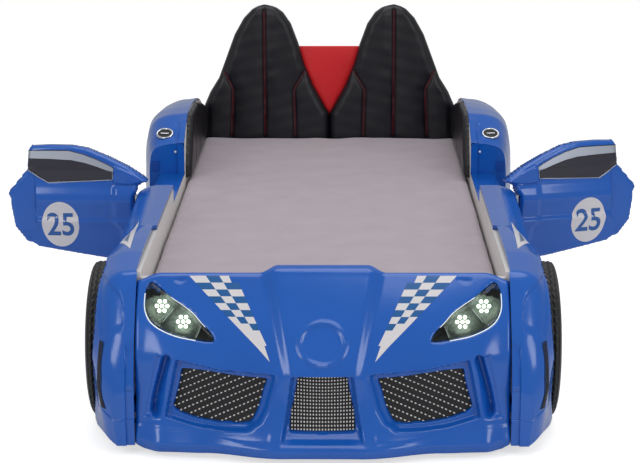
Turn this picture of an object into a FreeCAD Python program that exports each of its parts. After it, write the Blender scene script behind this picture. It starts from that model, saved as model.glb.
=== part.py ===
import FreeCAD, Part
import math
import os
from FreeCAD import Vector

# Racing-car bed for a child, with two doors on vertical hinges.
# X is across the bed, +Y towards the head end, +Z up. The origin is on the floor under the middle
# of the mattress. Left pieces are on -X, and most are mirror images of the right ones.

os.makedirs("parts", exist_ok=True)

# ---------------------------------------------------------------- driving dimensions, millimetres
mattress_length = 2000
mattress_width = 900
mattress_thickness = 150
mattress_top = 357

board = 22                  # side boards
panel = 18                  # foot board and headboard
ply = 16                    # backrest boards, door boards, nose ribs
skin = 4                    # wall of the vacuum-formed mouldings
side_play = 5               # from the mattress to each side board
end_play = 12               # from the mattress to the foot board
soft_gap = 0.3              # clearance round soft pieces
seat_clear = 0.3            # clearance where a piece drops into its seat

side_board_bottom = 40
side_board_top = 424        # in front of the door, under the wing
door_sill_top = 385
board_drop = 10             # from a rear wing's top down to the side board under it
side_pad_top = 541
headboard_side_top = 362
notch_rear = 280            # rear end of the door notch

slat_thickness = 12
slat_width = 70
slat_count = 14
rail_width = 25
rail_height = 40
beam_width = 40
beam_height = 60
leg_width = 60
foot_thickness = 8
foot_radius = 45
glide_radius = 9

moulding_bottom = 30
fender_gap = 2              # seam between front moulding and wings
nose_half_width = 460
nose_lip = -1273            # foremost point, on the centre line
nose_rear = -1034           # rear edge of the bonnet beside the raised part
bonnet_centre_rear = -1010
bonnet_edge_z = 424
bonnet_corner_drop = 15
bonnet_flange = 25
brow_y = -1210
brow_z = 216.5
bulge_height = 25

wheel_radius = 200
wheel_lift = 8              # the decorative wheels stop short of the floor
front_axle_y = -885
rear_axle_y = 640
tyre_inner_x = 556
tyre_outer_x = 604
rim_radius = 138
well_gap = 7                # from the tyre's tread to its well
hub_radius = 34
spokes = 5

hinge_x = 568
hinge_y = -112
barrel_radius = 5.5
pin_radius = 2.5
pin_clearance = 0.05
leaf_thickness = 2
knuckle_gap = 0.3
hinge_height = 180
hinge_bottom = 225
door_inner_x = 535
door_length = 379
door_open_left = 88         # angles in the stored pose
door_open_right = 73
catch_gap = 1.5             # from the closed door's tip to its magnet catch

pad_thickness = 42
side_pad_thickness = 22
backrest_peak = 822
backrest_peak_x = 229
backrest_base = 335
side_pad_front = 300

# ---------------------------------------------------------------- derived places
mattress_half = mattress_width / 2
mattress_end = mattress_length / 2
mattress_bottom = mattress_top - mattress_thickness
board_in = mattress_half + side_play
board_out = board_in + board
slat_top = mattress_bottom - soft_gap
rail_top = slat_top - slat_thickness
foot_face = -mattress_end - end_play
foot_back = foot_face - panel
pad_face = mattress_end + 3
pad_back = pad_face + pad_thickness
seat_board_front = pad_back + soft_gap
headboard_front = seat_board_front + ply
headboard_back = headboard_front + panel
wheel_z = wheel_radius + wheel_lift
jamb_front = hinge_y - barrel_radius
jamb_rear = notch_rear
door_front = hinge_y + barrel_radius
notch_front = jamb_front
notch_floor = door_sill_top - skin
side_board_front = nose_rear + skin
well_x = tyre_inner_x
leaf_reach = hinge_x - door_inner_x
X, Y, Z = Vector(1, 0, 0), Vector(0, 1, 0), Vector(0, 0, 1)


# ---------------------------------------------------------------- helpers
def save(name, shape):
    """Write one node, after making sure that every solid in it is closed and valid."""
    if not shape.isValid():
        print("NOT VALID", name)
    shape.exportStep("parts/%s.step" % name)


def mirrored(shape):
    return shape.mirror(Vector(0, 0, 0), X)


def save_pair(stem, right):
    """The right-hand piece and its mirror image."""
    save(stem + "_right", right)
    save(stem + "_left", mirrored(right))


def box(x0, x1, y0, y1, z0, z1):
    return Part.makeBox(x1 - x0, y1 - y0, z1 - z0, Vector(x0, y0, z0))


def wire_yz(points, x):
    ring = [Vector(x, y, z) for y, z in points]
    return Part.makePolygon(ring + ring[:1])


def wire_xz(points, y):
    ring = [Vector(x, y, z) for x, z in points]
    return Part.makePolygon(ring + ring[:1])


def prism_x(points, x0, x1):
    """A (y, z) outline drawn out from x0 to x1."""
    return Part.Face(wire_yz(points, x0)).extrude(X * (x1 - x0))


def prism_y(points, y0, y1):
    """An (x, z) outline drawn out from y0 to y1."""
    return Part.Face(wire_xz(points, y0)).extrude(Y * (y1 - y0))


def loft_along_y(sections):
    """Straight-ruled solid through (y, [(x, z), ...]) sections."""
    return Part.makeLoft([wire_xz(points, y) for y, points in sections], True, True)


def inset(points, distance):
    """Move each side of a closed outline inwards by one distance (outline given clockwise or not)."""
    count = len(points)
    area = sum(points[i - 1][0] * points[i][1] - points[i][0] * points[i - 1][1] for i in range(count))
    sign = 1 if area > 0 else -1
    moved = []
    for i in range(count):
        before, here, after = points[i - 1], points[i], points[(i + 1) % count]
        n1 = normal(before, here, sign)
        n2 = normal(here, after, sign)
        k = distance / (1 + n1[0] * n2[0] + n1[1] * n2[1])
        moved.append((here[0] + k * (n1[0] + n2[0]), here[1] + k * (n1[1] + n2[1])))
    return moved


def normal(a, b, sign):
    length = math.hypot(b[0] - a[0], b[1] - a[1])
    return (-(b[1] - a[1]) * sign / length, (b[0] - a[0]) * sign / length)


# ---------------------------------------------------------------- timber frame
def side_board():
    """White board with the door notch, lower in front and sloping down behind the backrest pad."""
    rear = headboard_front
    rear_top = [(y, row[0] - board_drop) for y, row in rear_wing_rows[1:-1]]
    outline = [
        (side_board_front, side_board_bottom),
        (side_board_front, side_board_top - 40),
        (side_board_front + 12, side_board_top),
        (notch_front, side_board_top),
        (notch_front, notch_floor),
        (notch_rear + skin, notch_floor),
        (notch_rear + skin, rear_wing_rows[0][1][0] - board_drop - skin),
        *rear_top,
        (rear, headboard_side_top),
        (rear, side_board_bottom),
    ]
    return prism_x(outline, board_in, board_out)


def polygon_ring(sides, radius, centre, axis):
    """Corners of a regular polygon round centre, the first one repeated at the end."""
    side = (Y if axis == X else X).cross(axis).normalize()
    other = axis.cross(side).normalize()
    turns = [2 * math.pi * i / sides for i in range(sides)]
    ring = [centre + side * (radius * math.cos(a)) + other * (radius * math.sin(a)) for a in turns]
    return ring + ring[:1]


def polygon_prism(sides, radius, centre, axis, height):
    """Regular prism standing on centre, with its corners at radius."""
    return Part.Face(Part.makePolygon(polygon_ring(sides, radius, centre, axis))).extrude(axis * height)


def foot_board():
    """Cross board at the foot end; the bonnet's rear flange lies against its front face."""
    top = bonnet_edge_z - bonnet_flange / 2
    low = bonnet_edge_z - bonnet_flange - skin
    step_x = bulge_base_half + 2 * skin
    right = [(step_x, low), (step_x, top), (board_in, top), (board_in, side_board_bottom)]
    left = [(-x, z) for x, z in right[::-1]]
    return prism_y(left + right, foot_back, foot_face)


def headboard():
    top = 640
    shoulder = 60
    rise = 100
    outline = [
        (-board_out, side_board_bottom),
        (-board_out, headboard_side_top),
        (-board_out + shoulder, headboard_side_top + rise),
        (-backrest_peak_x - shoulder, top),
        (backrest_peak_x + shoulder, top),
        (board_out - shoulder, headboard_side_top + rise),
        (board_out, headboard_side_top),
        (board_out, side_board_bottom),
    ]
    return prism_y(outline, headboard_front, headboard_back)


def slat_rail():
    return box(board_in - rail_width, board_in, foot_face, headboard_front, rail_top - rail_height, rail_top)


def slats():
    """Loose slats resting on the two rails and the centre beam."""
    pitch = (mattress_length - slat_width - 40) / (slat_count - 1)
    start = -mattress_end + 20
    half = board_in - 3
    rows = []
    for i in range(slat_count):
        y = start + i * pitch
        rows.append(box(-half, half, y, y + slat_width, rail_top, slat_top))
    return Part.makeCompound(rows)


def centre_beam():
    return box(-beam_width / 2, beam_width / 2, foot_face, headboard_front, rail_top - beam_height, rail_top)


def centre_leg():
    half = leg_width / 2
    return box(-half, half, -half, half, foot_thickness, rail_top - beam_height)


def centre_foot():
    return polygon_prism(24, foot_radius, Vector(0, 0, 0), Z, foot_thickness)


def floor_glides():
    """Plastic glides under the side boards."""
    x = board_in + board / 2
    places = [(side * x, y) for side in (-1, 1) for y in (-950, -330, 200, 1000)]
    return Part.makeCompound(
        [polygon_prism(6, glide_radius, Vector(x, y, 0), Z, side_board_bottom) for x, y in places])


bracket_arm = 45
bracket_width = 40
bracket_thickness = 3
bracket_z = 90
bolt_head_radius = 7
bolt_head_height = 4


def corner_bracket(y, toward):
    """Angle bracket in the corner of the right side board and a cross board at y."""
    z0 = bracket_z
    along = sorted((y, y + toward * bracket_arm))
    thin = sorted((y, y + toward * bracket_thickness))
    arm = box(board_in - bracket_thickness, board_in, along[0], along[1], z0, z0 + bracket_width)
    foot = box(board_in - bracket_arm, board_in, thin[0], thin[1], z0, z0 + bracket_width)
    return arm.fuse(foot).removeSplitter()


def corner_brackets():
    right = [corner_bracket(foot_face, 1), corner_bracket(headboard_front, -1)]
    return Part.makeCompound(right + [mirrored(shape) for shape in right])


def bolts():
    """Hexagon bolt heads on the brackets' arms."""
    heads = []
    for y in (foot_face + 28, headboard_front - 28):
        x = board_in - bracket_thickness - bolt_head_height
        centre = Vector(x, y, bracket_z + bracket_width / 2)
        head = polygon_prism(6, bolt_head_radius, centre, X, bolt_head_height)
        heads += [head, mirrored(head)]
    return Part.makeCompound(heads)


# ---------------------------------------------------------------- front moulding
bulge_top_half = 114        # crest of the raised bonnet at its rear edge
bulge_base_half = 156       # foot of the raised part there
bulge_crest_low = 78        # the same two at the brow
bulge_base_low = 94
profile_steps = (0.0, 0.10, 0.40, 0.72, 1.0)
bonnet_crown = 10
brow_recess = 18


def fade(value, low, high):
    """0 below low, 1 above high, straight between."""
    return min(1.0, max(0.0, (value - low) / (high - low)))


def nose_profile(top_x, low_x):
    """Outer (x, y, z) line from the bonnet's rear edge down to the lip, at one station."""
    raised = 1 - fade(top_x, bulge_top_half, bulge_base_half)
    corner = fade(top_x, 390, nose_half_width)
    rear_y = nose_rear + (bonnet_centre_rear - nose_rear) * raised
    rear_z = bonnet_edge_z + (bulge_height - 1) * raised - bonnet_corner_drop * corner ** 2
    share = (low_x / nose_half_width) ** 2
    front_y = brow_y + 55 * share
    front_z = brow_z + 52.5 * share
    low_raised = 1 - fade(low_x, bulge_crest_low, bulge_base_low)
    points = []
    for t in profile_steps:
        x = top_x + (low_x - top_x) * t
        y = rear_y + (front_y - rear_y) * t
        z = rear_z + (front_z - rear_z) * t
        crown = bonnet_crown * 4 * t * (1 - t) + 9 * low_raised * t * (1 - t) * 4
        if t == profile_steps[1]:
            crown += 8
        points.append((x, y - 0.78 * crown, z + 0.62 * crown))
    lip_y = nose_lip + 85 * share
    recess = brow_recess * (0.25 + 0.75 * fade(low_x, 20, 120))
    points.append((low_x, front_y + recess, front_z - 9))
    points.append((low_x, front_y + recess - 6, front_z - 26))
    points.append((low_x, front_y + (lip_y - front_y) * 0.15, 135))
    points.append((low_x, front_y + (lip_y - front_y) * 0.42, 82))
    points.append((low_x, lip_y + 6, 60))
    points.append((low_x, lip_y, 46))
    points.append((low_x, lip_y + 7, moulding_bottom))
    return points


# Each station of the right half: x at the bonnet's rear edge, x at the brow and below it.
stations = (
    (0, 0), (60, 42), (bulge_top_half, bulge_crest_low), (bulge_base_half, bulge_base_low),
    (215, 175), (280, 250), (335, 320), (390, 385), (430, 428), (452, 452),
    (nose_half_width, nose_half_width),
)


def nose_solid(depth):
    """All that lies behind the nose's outer surface moved inwards by depth, back to the open rear."""
    wires = []
    for side in (-1, 1):
        order = stations[::-1] if side < 0 else stations[1:]
        for top_x, low_x in order:
            line = nose_profile(top_x, low_x)
            flat = inset([(y, z) for _, y, z in line] + back_points(line), depth)
            flat = flat[: len(line)]
            limit = nose_half_width - depth
            ring = [Vector(side * min(p[0], limit), y, z) for p, (y, z) in zip(line, flat)]
            rear = ring[0]
            if depth:
                behind = rear.y + 60
                under = moulding_bottom - 20
                ring[-1] = Vector(ring[-1].x, ring[-1].y, under)
                ring.append(Vector(ring[-1].x, behind, under))
                ring.append(Vector(rear.x, behind, rear.z - bonnet_flange))
                ring.append(Vector(rear.x, rear.y, rear.z - bonnet_flange))
            else:
                ring.append(Vector(ring[-1].x, rear.y, moulding_bottom))
                ring.append(Vector(rear.x, rear.y, rear.z - 2 * bonnet_flange))
                ring.append(Vector(rear.x, rear.y, rear.z - bonnet_flange))
            wires.append(Part.makePolygon(ring + ring[:1]))
    return Part.makeLoft(wires, True, True)


def back_points(line):
    rear = line[0]
    return [(rear[1], moulding_bottom), (rear[1], rear[2] - bonnet_flange)]


headlight_outline = (
    (424, 405), (437, 392), (439, 368), (433, 343), (420, 325), (393, 311), (350, 296),
    (300, 285), (268, 282), (262, 288), (275, 305), (300, 326), (330, 349), (365, 370), (398, 392),
)
grille_side_outline = ((352, 210), (300, 203), (140, 196), (152, 132), (178, 92), (205, 84), (270, 88), (362, 122))
grille_centre_outline = ((-60, 208), (60, 208), (83, 92), (76, 74), (-76, 74), (-83, 92))
slot_outline = ((386, 236), (410, 240), (412, 100), (392, 94))
slot_depth = 14
ring_centre = Vector(0, -1154, 284)
ring_radius = 61
ring_width = 9
ring_height = 3
ring_sides = 32
grille_rear = -1100         # the grille panels end in front of this
lens_gap = 0.5
housing_depth = 34
housing_wall = 2.5
led_places = ((398, 357), (343, 325))
led_radius = 15
led_thickness = 4
bonnet_normal = Vector(0, 0.78, -0.62)   # into the nose
control_z = 110
control_depth = 28
inlet_radius = 2.75
inlet_depth = 11


def outline_prism(outline, offset=0.0, rear=nose_rear - 6):
    """Straight prism along Y through the nose's skin for a straight-sided (x, z) outline."""
    return prism_y(inset(list(outline), offset) if offset else outline, nose_lip - 50, rear)


def pushed_back(solid, depth):
    """The nose's inside moved back along the bonnet's normal."""
    return solid.translated(bonnet_normal * depth)


def front_shell(outer, inner):
    shell = outer.cut(inner)
    for outline in (headlight_outline, grille_side_outline):
        hole = outline_prism(outline)
        shell = shell.cut(hole).cut(mirrored(hole))
    shell = shell.cut(outline_prism(grille_centre_outline))
    pocket = outer.cut(pushed_back(inner, slot_depth)).common(outline_prism(slot_outline, -skin))
    groove = outer.cut(pushed_back(outer, slot_depth)).common(outline_prism(slot_outline))
    for piece, hollow in ((pocket, groove), (mirrored(pocket), mirrored(groove))):
        shell = shell.fuse(piece).cut(hollow)
    return shell.fuse(bonnet_ring(outer, inner)).removeSplitter()


def bonnet_ring(outer, inner):
    """Raised ring on the bonnet's centre, following its surface."""
    disc = polygon_prism(ring_sides, ring_radius, ring_centre - bonnet_normal * 60, bonnet_normal, 120)
    hole = polygon_prism(ring_sides, ring_radius - ring_width, ring_centre - bonnet_normal * 61, bonnet_normal, 122)
    return disc.cut(hole).common(pushed_back(outer, -ring_height)).cut(inner)


rib_x = 104                 # between the centre grille and the side one


def nose_rib(inner):
    """Upright board between the foot board and the front moulding, cut to the moulding's inside."""
    top = bonnet_edge_z - bonnet_flange
    slab = box(rib_x, rib_x + ply, nose_lip, foot_back, side_board_bottom, top)
    return slab.common(inner)


# ---------------------------------------------------------------- wings and sills
def wing_ring(inner_x, row):
    """One (x, z) section of a wing from its row: inner top, flat end, shoulder, widest, bottom."""
    top, flat_x, flat_z, shoulder_x, shoulder_z, wide_x, wide_z, low_x, low_z = row
    return [
        (inner_x, low_z), (inner_x, top), (flat_x, flat_z), (shoulder_x, shoulder_z),
        (wide_x, wide_z), (low_x, low_z),
    ]


front_wing_rows = (
    (-1188, (150, 490, 150, 502, 140, 512, 120, 512, 36)),
    (-1152, (272, 505, 268, 535, 245, 560, 180, 562, 30)),
    (-1108, (338, 510, 334, 545, 308, 576, 230, 578, 30)),
    (-1060, (400, 515, 396, 552, 368, 584, 290, 586, 30)),
    (-1000, (432, 522, 428, 558, 404, 587, 325, 588, 30)),
    (-885, (441, 530, 439, 562, 419, 589, 345, 590, 30)),
    (-760, (442, 520, 440, 556, 416, 586, 350, 588, 30)),
    (-620, (440, 502, 438, 546, 410, 574, 350, 578, 30)),
    (-600, (436, 502, 436, 545, 406, 570, 348, 574, 30)),
    (-350, (436, 508, 436, 552, 412, 566, 360, 568, 30)),
    (jamb_front, (436, 517, 436, 556, 418, 566, 385, 566, 30)),
)
rear_wing_rows = (
    (jamb_rear, (486, 530, 474, 556, 458, 566, 400, 568, 30)),
    (345, (520, 530, 510, 562, 490, 578, 420, 580, 30)),
    (430, (550, 526, 549, 562, 530, 586, 450, 590, 30)),
    (540, (556, 522, 556, 564, 536, 592, 452, 596, 30)),
    (640, (553, 522, 553, 566, 530, 596, 446, 598, 30)),
    (940, (508, 522, 522, 570, 496, 592, 418, 594, 30)),
    (1030, (472, 520, 478, 562, 452, 580, 390, 584, 40)),
    (1084, (410, 512, 410, 540, 392, 552, 340, 556, 62)),
)


def wing(rows, inner_x, axle_y):
    """Hollow wing, open to the bed and below, with a round well for the wheel."""
    outer = loft_along_y([(y, wing_ring(inner_x, row)) for y, row in rows])
    hollow_rows = []
    last = len(rows) - 1
    for i, (y, row) in enumerate(rows):
        ring = inset(wing_ring(inner_x, row), skin)
        ring[0] = (inner_x - 20, moulding_bottom - 20)
        ring[1] = (inner_x - 20, ring[1][1])
        ring[5] = (ring[5][0], moulding_bottom - 20)
        shift = skin if i == 0 else -skin if i == last else 0
        hollow_rows.append((y + shift, ring))
    hollow = loft_along_y(hollow_rows)
    radius = wheel_radius + well_gap
    well = Part.makeCylinder(radius, 100, Vector(well_x, axle_y, wheel_z), X)
    lining = polygon_prism(24, radius + skin + 2, Vector(well_x - skin, axle_y, wheel_z), X, 100)
    return outer.cut(well).cut(hollow.cut(lining))


def front_wing():
    """The wing laps over the side board's top, and stands beside the nose ahead of it."""
    shape = wing(front_wing_rows, board_in, front_axle_y)
    beside_nose = box(board_in - 1, nose_half_width + fender_gap, nose_lip, nose_rear + 1, 0, 500)
    slot = box(board_in - 1, board_out, nose_rear, jamb_front + 1, 0, side_board_top)
    return shape.cut(beside_nose).cut(slot)


def rear_wing():
    """The wing laps over the side board's top and front edge, above the door's notch."""
    shape = wing(rear_wing_rows, board_in, rear_axle_y)
    return shape.cut(box(board_in - 1, board_out, jamb_rear - 1, jamb_rear + 2 * skin, 0, notch_floor))


ledge_front = 190           # height of the ledge at its front end, below the door's lower edge
ledge_slope = 0.12
ledge_fall = 14             # from the door's inner face to the sill's outer edge
sill_recess_x = door_inner_x - 2
sill_out = 566


def under_ledge(lower, fall_to):
    """Long wedge whose sloping top is the door's ledge, lowered by a wall or not at all."""
    half = jamb_rear - jamb_front
    rise = ledge_slope * half
    top = ledge_front - lower
    run = sill_out - sill_recess_x
    wires = []
    for x, drop in ((board_in - 60, 0), (sill_recess_x, 0), (fall_to, ledge_fall * (fall_to - sill_recess_x) / run)):
        level = top - drop
        wires.append(wire_yz([
            (jamb_front - half, -60), (jamb_rear + half, -60),
            (jamb_rear + half, level + 2 * rise), (jamb_front - half, level - rise)], x))
    return Part.makeLoft(wires, True, True)


def sill():
    """Door sill: the closed door stands on its ledge, and its top covers the notch in the board."""
    outer_face = sill_out + 2
    body = box(board_in, outer_face, jamb_front, jamb_rear, moulding_bottom, door_sill_top)
    body = body.cut(box(board_in - 1, board_out, jamb_front - 1, jamb_rear + 1, 0, notch_floor))
    upper = box(sill_recess_x, outer_face + 1, jamb_front - 1, jamb_rear + 1, ledge_front - ledge_fall, 600)
    body = body.cut(upper.cut(under_ledge(0, outer_face + 1)))
    foot = prism_y([(sill_out + 2, 100), (sill_out - 10, 0), (sill_out + 20, 0), (sill_out + 20, 100)],
                   jamb_front - 1, jamb_rear + 1)
    body = body.cut(foot)
    inside = box(board_out - 1, outer_face - skin, jamb_front - 1, jamb_rear + 1, 0, ledge_front + 200)
    inside = inside.common(under_ledge(skin, outer_face + 1)).cut(foot.translated(X * -skin))
    upright = box(board_out - 1, sill_recess_x - skin, jamb_front - 1, jamb_rear + 1, 0, notch_floor)
    return body.cut(inside).cut(upright)


badge_half_width = 26       # plain oval on the sloping front of the rear wing
badge_half_height = 12
badge_thickness = 3
badge_depth = 14            # starts this far behind the wing's face, and is cut back to it
badge_centre = Vector(521, 319, 504)
badge_facing = Vector(0.10, -0.86, 0.50)


def wing_badge(wing_shape):
    """Oval trim whose back follows the wing."""
    normal_out = badge_facing.normalize()
    across = Vector(normal_out.y, -normal_out.x, 0).normalize()
    up = across.cross(normal_out)
    seat = wing_shape.distToShape(Part.Vertex(badge_centre))[1][0][0]
    start = seat - normal_out * badge_depth
    turns = [2 * math.pi * i / 24 for i in range(24)]
    ring = [start + across * (badge_half_width * math.cos(a)) + up * (badge_half_height * math.sin(a))
            for a in turns]
    plug = Part.Face(Part.makePolygon(ring + ring[:1])).extrude(normal_out * (badge_depth + badge_thickness))
    pieces = plug.cut(wing_shape).Solids
    return max(pieces, key=lambda solid: solid.CenterOfMass.dot(normal_out))


# ---------------------------------------------------------------- wheels
wheel_sides = 40


def wheel_disc(rings, y):
    """Many-sided disc about the axle through (x, radius) rings."""
    wires = []
    for x, radius in rings:
        ring = polygon_ring(wheel_sides, radius, Vector(x, y, wheel_z), X)
        wires.append(Part.makePolygon(ring))
    return Part.makeLoft(wires, True, True)


def tyre(y):
    inner, outer = tyre_inner_x, tyre_outer_x
    r = wheel_radius
    body = wheel_disc([(inner, r), (outer - 14, r), (outer - 3, r - 8), (outer, r - 24), (outer - 6, rim_radius)], y)
    return body.cut(wheel_disc([(inner - 1, rim_radius), (outer + 1, rim_radius)], y))


def rim(y):
    """Dished wheel trim with five windows between its spokes."""
    inner, outer = tyre_inner_x, tyre_outer_x
    r = rim_radius - seat_clear
    face = outer - 9
    floor = outer - 26
    body = wheel_disc([(inner, r), (face, r)], y)
    body = body.cut(wheel_disc([(floor, r - 18), (face, r - 7), (face + 1, r - 7)], y))
    hub = wheel_disc([(floor - 1, hub_radius + 6), (outer - 12, hub_radius)], y)
    body = body.fuse(hub).removeSplitter()
    corners = ((-11, 54), (11, 54), (42, 106), (-42, 106), (-11, 54))
    start = inner + 8
    window = Part.Face(Part.makePolygon([Vector(start, y + a, wheel_z + b) for a, b in corners])).extrude(X * 60)
    for i in range(spokes):
        cut = window.copy()
        cut.rotate(Vector(0, y, wheel_z), X, 360 / spokes * i)
        body = body.cut(cut)
    return body


# ---------------------------------------------------------------- doors
door_outline = (
    (0, 200), (0, 478), (15, 486), (62, 508), (110, 528), (160, 545), (205, 551), (300, 549), (312, 543),
    (316, 476), (door_length, 406), (366, 372), (369, 345), (356, 300), (335, 266), (318, 254), (305, 252),
    (292, 240),
)
window_outline = ((64, 449), (64, 482), (112, 507), (165, 527), (203, 537), (304, 535), (308, 480), (255, 441))
# Outward reach of the door's skin from the hinge line, by height.
door_section = ((190, -12), (300, 5), (330, 13), (345, 10), (430, 5), (480, -1), (556, -12))


def door_slab(depth):
    """Everything between the inner face of the door and its skin moved inwards by depth."""
    edge = [(hinge_x + reach - depth, z) for z, reach in door_section]
    low, high = door_section[0][0] - 40, door_section[-1][0] + 40
    ring = [(door_inner_x, low)] + [(edge[0][0], low)] + edge + [(edge[-1][0], high), (door_inner_x, high)]
    return prism_y(ring, hinge_y - 10, hinge_y + door_length + 20)


def door_plate(outline, x0, x1):
    """A door outline drawn out along X, measured back from the door's front edge."""
    return prism_x([(door_front + s, z) for s, z in outline], x0, x1)


def closed_door():
    """The pieces of the right door in its closed position, by name."""
    far = hinge_x + 40
    outline = [(s, z) for s, z in door_outline]
    cavity = inset(outline, skin)
    body = door_plate(outline, door_inner_x, far).common(door_slab(0))
    hollow = door_plate(cavity, door_inner_x - 1, far).common(door_slab(skin).fuse(
        door_slab(skin).translated(X * -10)))
    window = list(window_outline)
    shell = body.cut(hollow).cut(door_plate(window, door_inner_x + ply, far))
    backing = door_plate(inset(outline, skin), door_inner_x, door_inner_x + ply).common(door_slab(skin))
    pane = door_plate(inset(window, seat_clear), door_inner_x + ply, far).common(door_slab(2))
    return {"door_shell": shell, "door_board": backing, "window_panel": pane}


def barrel(z0, z1):
    return Part.makeCylinder(barrel_radius, z1 - z0, Vector(hinge_x, hinge_y, z0))


def hinge_pieces():
    """The butt hinge of the right door, closed: body leaf, door leaf and pin."""
    third = hinge_height / 3
    low, high = hinge_bottom, hinge_bottom + hinge_height
    middle_low, middle_high = low + third, high - third
    bore = Part.makeCylinder(pin_radius + pin_clearance, hinge_height, Vector(hinge_x, hinge_y, low))
    body_leaf = box(hinge_x - leaf_reach, hinge_x, jamb_front, jamb_front + leaf_thickness, low, high)
    reach = barrel_radius + knuckle_gap
    body_leaf = body_leaf.cut(box(hinge_x - reach, hinge_x, jamb_front, door_front, middle_low, middle_high))
    ends = barrel(low, middle_low - knuckle_gap).fuse(barrel(middle_high + knuckle_gap, high))
    body_leaf = body_leaf.fuse(ends).cut(bore).removeSplitter()
    door_leaf = box(hinge_x - leaf_reach, hinge_x, door_front - leaf_thickness, door_front, low, high)
    for z0, z1 in ((low, middle_low), (middle_high, high)):
        door_leaf = door_leaf.cut(box(hinge_x - reach, hinge_x, jamb_front, door_front, z0, z1))
    door_leaf = door_leaf.fuse(barrel(middle_low, middle_high)).cut(bore).removeSplitter()
    pin = Part.makeCylinder(pin_radius, hinge_height, Vector(hinge_x, hinge_y, low))
    return body_leaf, door_leaf, pin


def swung(shape, side, angle):
    """The right door's closed piece put on its side of the bed and opened by angle degrees."""
    placed = shape.copy() if side > 0 else mirrored(shape)
    placed.rotate(Vector(side * hinge_x, hinge_y, 0), Z, -side * angle)
    return placed


def door_catch():
    """Magnet catch on the rear jamb, just behind the tip of the closed door."""
    front = door_front + door_length + catch_gap
    return box(sill_recess_x + 4, sill_recess_x + 26, front, jamb_rear, 392, 422)


# ---------------------------------------------------------------- soft pieces
def rounded_rectangle(half_x, half_y, radius, z):
    corners = []
    for sx, sy in ((1, 1), (-1, 1), (-1, -1), (1, -1)):
        corners.append((sx * half_x, sy * half_y, sx, sy))
    edges = []
    ends = []
    for x, y, sx, sy in corners:
        cx, cy = x - sx * radius, y - sy * radius
        a = Vector(cx + sx * radius, cy, z)
        b = Vector(cx, cy + sy * radius, z)
        mid = Vector(cx + sx * radius * math.sqrt(0.5), cy + sy * radius * math.sqrt(0.5), z)
        first, second = (a, b) if sx * sy > 0 else (b, a)
        ends.append((first, second))
        edges.append(Part.Arc(first, mid, second).toShape())
    ring = []
    for i in range(4):
        ring.append(edges[i])
        ring.append(Part.makeLine(ends[i][1], ends[(i + 1) % 4][0]))
    return Part.Wire(ring)


def mattress():
    """Sprung mattress under a fitted sheet: sides drawn in below, edges rounded, top crowned."""
    rows = ((0, 10), (14, 2), (mattress_thickness - 26, 0), (mattress_thickness - 10, 5),
            (mattress_thickness - 3, 18), (mattress_thickness, 60))
    wires = []
    for height, draw in rows:
        wires.append(rounded_rectangle(
            mattress_half - draw, mattress_end - draw, max(40, 60 - draw / 2), mattress_bottom + height))
    return Part.makeLoft(wires, True, True)


# Half of the right backrest's bell shape: distance from its centre line, and height.
bell_inner = ((222, backrest_base), (222, 440), (203, 482), (172, 536), (142, 606), (120, 682),
              (92, 757), (65, 797), (33, 817))
bell_outer = ((218, backrest_base), (218, 462), (196, 512), (164, 563), (133, 646), (106, 718),
              (72, 777), (33, 813))


def bell(shrink=0.0):
    """(x, z) outline of the right backrest."""
    inner = [(backrest_peak_x - d, z) for d, z in bell_inner]
    outer = [(backrest_peak_x + d, z) for d, z in bell_outer]
    ring = inner + [(backrest_peak_x, backrest_peak)] + outer[::-1]
    return inset(ring, shrink) if shrink else ring


seat_board_inset = 6        # the backrest's board inside its upholstery
channel_depth = 7
channel_half = 5


def channel(x_low, x_high, z_low, z_high):
    """Wedge cut that presses a sewn channel into the backrest's face."""
    low = Part.makePolygon([
        Vector(x_low - channel_half, pad_face - 1, z_low), Vector(x_low + channel_half, pad_face - 1, z_low),
        Vector(x_low, pad_face + channel_depth, z_low), Vector(x_low - channel_half, pad_face - 1, z_low)])
    high = Part.makePolygon([
        Vector(x_high - channel_half, pad_face - 1, z_high), Vector(x_high + channel_half, pad_face - 1, z_high),
        Vector(x_high, pad_face + channel_depth, z_high), Vector(x_high - channel_half, pad_face - 1, z_high)])
    return Part.makeLoft([low, high], True, True)


def backrest():
    """Bell-shaped pad, rounded towards its rim, with three sewn channels."""
    rims = ((pad_back, 0), (pad_face + 20, 0), (pad_face + 8, 6), (pad_face, 20))
    pad = Part.makeLoft([wire_xz(bell(draw), y) for y, draw in rims], True, True)
    cx = backrest_peak_x
    cuts = [channel(cx, cx, backrest_base - 5, 790), channel(cx - 106, cx - 104, backrest_base - 5, 523),
            channel(cx + 118, cx + 114, backrest_base - 5, 523)]
    for cut in cuts:
        pad = pad.cut(cut)
    return pad


def side_pad():
    """Flat upholstered pad on the inside of the rear side board."""
    z0 = mattress_top + 4
    outline = [
        (side_pad_front, z0), (side_pad_front + 30, z0 + 80), (side_pad_front + 98, side_pad_top),
        (672, side_pad_top), (860, side_pad_top - 36), (pad_face - 4, side_pad_top - 72), (pad_face - 4, z0),
    ]
    lifts = ((board_in - soft_gap, 0), (board_in - side_pad_thickness + 6, 0), (board_in - side_pad_thickness, 8))
    return Part.makeLoft([wire_yz(inset(outline, draw) if draw else outline, x) for x, draw in lifts], True, True)


def centre_panel():
    """Red board in the V between the backrests, fitted between their two boards."""
    top, base, half = 672, 420, 125
    plate = box(-half, half, seat_board_front + 4, headboard_front, base, top)
    right = prism_y(bell(seat_board_inset - seat_clear), seat_board_front - 1, headboard_front + 1)
    return plate.cut(right).cut(mirrored(right))


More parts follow.
